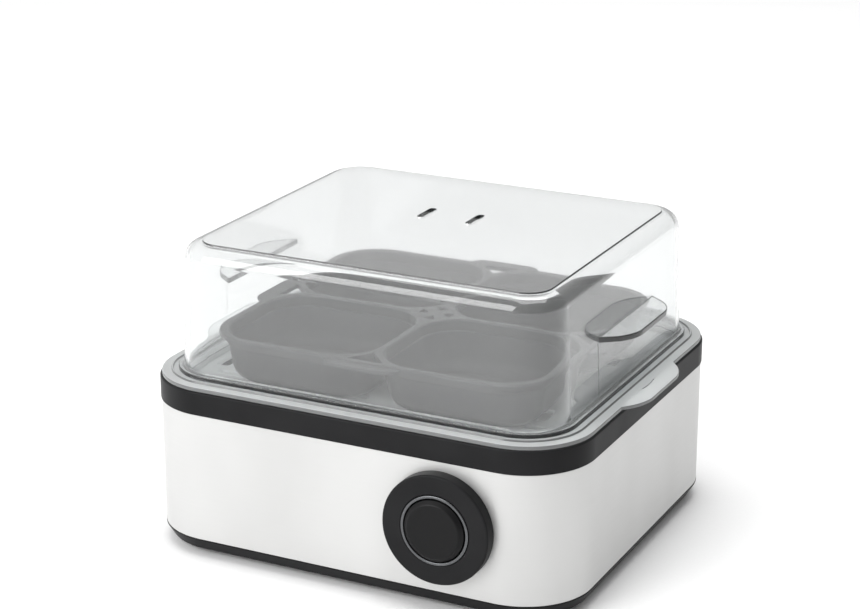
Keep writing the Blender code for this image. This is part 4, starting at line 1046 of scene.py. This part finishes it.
def make_dome_lid():
    low, high, size = box_size("lid")
    base_z = low.z + LID_SKIRT
    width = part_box("top_housing")[1].x * 2 - 0.0194
    depth = size.y
    lid = start_outline("dome_lid", width, depth, LID_CORNER, base_z, segments=24)
    edge, foot_round, ridge = 0.0005, 0.0014, 0.0008
    flare_top = 0.0020
    wall_foot = 0.0030
    flare = [(0, flare_top - edge)] + bend(edge, 90, 0, 3)
    flare += slope(wall_foot - edge - foot_round, 0) + bend(foot_round, 0, 88)
    lift = total(flare)[1]
    wall_top = high.z - ridge - LID_SHOULDER
    wall = slope(LID_DRAFT, wall_top - base_z - lift)
    shoulder = bend(LID_SHOULDER, 88, 0, 12)
    plateau = slope(0.0009, 0) + bend(0.0002, 0, 84, 2) + slope(0.0001, ridge - 0.0005)
    plateau += bend(0.0003, 84, 0, 3)
    carry(flare + wall + shoulder + plateau)

    skirt_edge = 0.0005
    skirt = slope(LID_FLARE, 0) + [(0, -(LID_SKIRT - skirt_edge))] + bend(skirt_edge, -90, 0, 3)
    skirt += slope(LID_WALL - 2 * skirt_edge, 0) + bend(skirt_edge, 0, 90, 3)
    inner_shoulder = LID_SHOULDER - LID_WALL
    inner_top = high.z - ridge - LID_WALL - inner_shoulder
    inner_wall = [(0, LID_SKIRT - skirt_edge + lift)]
    inner_wall += slope(LID_DRAFT, inner_top - base_z - lift) + bend(inner_shoulder, 88, 0, 10)
    carry_from(lid, base_z, skirt + inner_wall)
    leave_edit(lid)

    share = GRIP_HEIGHT / (wall_top - base_z)
    wall_x = width / 2 - wall_foot - LID_DRAFT * share
    grips = []
    for side in (-1, 1):
        grip_low = base_z + GRIP_HEIGHT + 0.0006
        grip = start_tab(
            "grip",
            side,
            inner=wall_x - 0.0009,
            reach=0.0159,
            root=0.0745,
            tip=0.050,
            corner=0.0095,
            z=grip_low,
        )
        carry([(0, GRIP_THICKNESS - 0.0012)] + bend(0.0006, 90, 0, 4))
        carry_from(grip, grip_low, bend(0.0006, -90, 0, 4))
        grips.append(leave_edit(grip))
        grips.append(make_witness_line(side, width, base_z, wall_foot, share))
    combine(lid, grips, "UNION")

    vents = []
    for side in (-1, 1):
        soft = 0.0004
        size_xy = (VENT_WIDTH + 2 * soft, VENT_LENGTH + 2 * soft)
        place = (side * VENT_X, VENT_Y)
        vent = start_outline("vent", *size_xy, VENT_CORNER + soft, high.z + PROUD, place, 10)
        carry([(0, -PROUD)] + bend(soft, 0, -90, 3) + [(0, -0.006)])
        vents.append(leave_edit(vent))
    combine(lid, vents, "DIFFERENCE")
    finish_piece(lid, "lid", LID_CLEAR, ["lid"])

    # Upright edge faces get the grey edge finish: painted shade that draws the edges
    def on_painted_shade_edge(centre, normal):
        upright = abs(normal.z) < 0.85
        step = centre.z > high.z - ridge - 0.0001
        flange = base_z < centre.z < base_z + flare_top
        skirt_end = centre.z < low.z + 0.0006
        grip = abs(centre.x) > wall_x + 0.0004 and base_z + 0.02 < centre.z < wall_top
        vent = abs(centre.x) < 0.02 and 0 < centre.y < 0.03 and centre.z > high.z - 0.004
        return upright and (step or flange or skirt_end or grip or vent)

    paint(lid, LID_EDGE_SHADE, on_painted_shade_edge)


def make_witness_line(side, width, base_z, wall_foot, share):
    """The thin upright line that the mould's slide leaves under a grip's front end."""
    half = 0.0002
    x = side * (width / 2 - wall_foot - half)
    line = start_outline("line", 0.0008, 2 * half, 0.00005, base_z + 0.0035, (x, -0.0372), 1)
    lean = -side * LID_DRAFT * share
    bpy.ops.mesh.extrude_region_move(
        TRANSFORM_OT_translate={"value": (lean, 0, GRIP_HEIGHT - 0.0030)}
    )
    return leave_edit(line)


# Screws and what is inside


def make_cover_screws():
    """Pan heads with a cross recess."""
    for node in CORNERS:
        low, high, size = box_size("cover_screw_" + node)
        centre = ((low + high) / 2).xy
        head = 0.0022
        screw = start_disc("cross_head_" + node, size.x / 2, low.z + head, centre, 40)
        carry([(0, -0.0008)] + bend(0.0014, -90, -12, 6))
        carry_from(screw, low.z + head, slope(size.x / 2 - 0.0016, 0) + [(0, size.z - head)])
        leave_edit(screw)
        arms = []
        for length, width in ((0.0034, 0.0008), (0.0008, 0.0034)):
            arm = start_outline("arm", length, width, 0.0002, low.z - PROUD, centre, 2)
            carry([(0, 0.0022)])
            arms.append(leave_edit(arm))
        combine(arms[0], [arms[1]], "UNION")
        combine(screw, [arms[0]], "DIFFERENCE")
        finish_piece(screw, "base", ZINC, ["cover_screw_" + node])


def make_return_spring():
    """The button's coil, copied from the frame's own spring and carried on the base."""
    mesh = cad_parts["button_spring"].data.copy()
    spring = bpy.data.objects.new("return_spring", mesh)
    bpy.context.scene.collection.objects.link(spring)
    finish_piece(spring, "base", ZINC, ["button_spring"])
    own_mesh(spring)


def dress_inner_nodes():
    """Finishes for the frame's own pieces that only show through the air slots."""
    finishes = {
        "plate_seal": SILICONE,
        "heat_spreader": ALUMINIUM,
        "heating_element": ZINC,
        "element_terminal_left": ZINC,
        "element_terminal_right": ZINC,
        "thermostat": CERAMIC,
        "thermal_fuse": CERAMIC,
        "plate_clamp": ZINC,
        "clamp_screw_left": ZINC,
        "clamp_screw_right": ZINC,
        "switch_body": ABS,
        "lamp_board": BOARD,
        "terminal_block": CERAMIC,
        "wire_live": BROWN_PVC,
        "wire_neutral": BLUE_PVC,
        "wire_switched": BLACK_PVC,
        "wire_lamp": WHITE_PVC,
    }
    for node, material in finishes.items():
        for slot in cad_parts[node].material_slots:
            slot.material = material


# Studio


def make_floor():
    deselect_all()
    bpy.ops.mesh.primitive_plane_add(size=12, location=(0, 0, 0))
    floor = bpy.context.object
    floor.name = "floor"
    floor.data.materials.append(pale_studio_floor())


def add_softbox(name, location, target, side, power):
    """A square lamp with sides in metres, aimed at the target, its power in watts."""
    light = bpy.data.lights.new(name, "AREA")
    light.shape = "SQUARE"
    light.size = side
    light.energy = power
    lamp = bpy.data.objects.new(name, light)
    bpy.context.scene.collection.objects.link(lamp)
    lamp.location = location
    aim = Vector(target) - Vector(location)
    lamp.rotation_euler = aim.to_track_quat("-Z", "Y").to_euler()


def make_studio():
    """A bright room that falls off to the right and back, a wide softbox at the front left."""
    world = bpy.data.worlds.new("studio")
    world.use_nodes = True
    bpy.context.scene.world = world
    tree = world.node_tree
    coords = add(tree, "ShaderNodeTexCoord")
    split = add(
        tree,
        "ShaderNodeVectorMath",
        {"operation": "DOT_PRODUCT", 1: (-0.85, -0.20, 0.45)},
        {0: coords.outputs["Generated"]},
    )
    level = add(
        tree,
        "ShaderNodeMapRange",
        {"From Min": -0.9, "From Max": 0.8, "To Min": 0.12, "To Max": 1.0},
        {"Value": split.outputs["Value"]},
    )
    background = tree.nodes["Background"]
    tree.links.new(level.outputs["Result"], background.inputs["Color"])
    background.inputs["Strength"].default_value = 1.0
    add_softbox("key_softbox", (-1.1, -2.0, 1.1), target=(0, 0, 0.05), side=1.6, power=37)
    add_softbox("top_softbox", (0.1, 0.1, 1.9), target=(0, 0, 0), side=1.6, power=20)


def make_camera():
    camera = bpy.data.cameras.new("camera")
    camera.sensor_width = 36
    camera.lens = CAMERA_LENS
    camera.clip_end = 50
    view = bpy.data.objects.new("camera", camera)
    bpy.context.scene.collection.objects.link(view)
    view.location = CAMERA_PLACE
    view.rotation_euler = (math.radians(90 - CAMERA_DOWN), 0, math.radians(CAMERA_ROUND))
    bpy.context.scene.camera = view


make_camera()
make_steel_wrap()
make_rim_housing()
make_base_pan()
make_feet()
make_heating_plate()
make_switch()
make_cord_grommet()
make_steam_rack()
make_poach_pan()
make_dome_lid()
make_cover_screws()
make_return_spring()
dress_inner_nodes()
make_floor()
make_studio()
bpy.context.scene.view_settings.view_transform = "Standard"
bpy.context.view_layer.update()
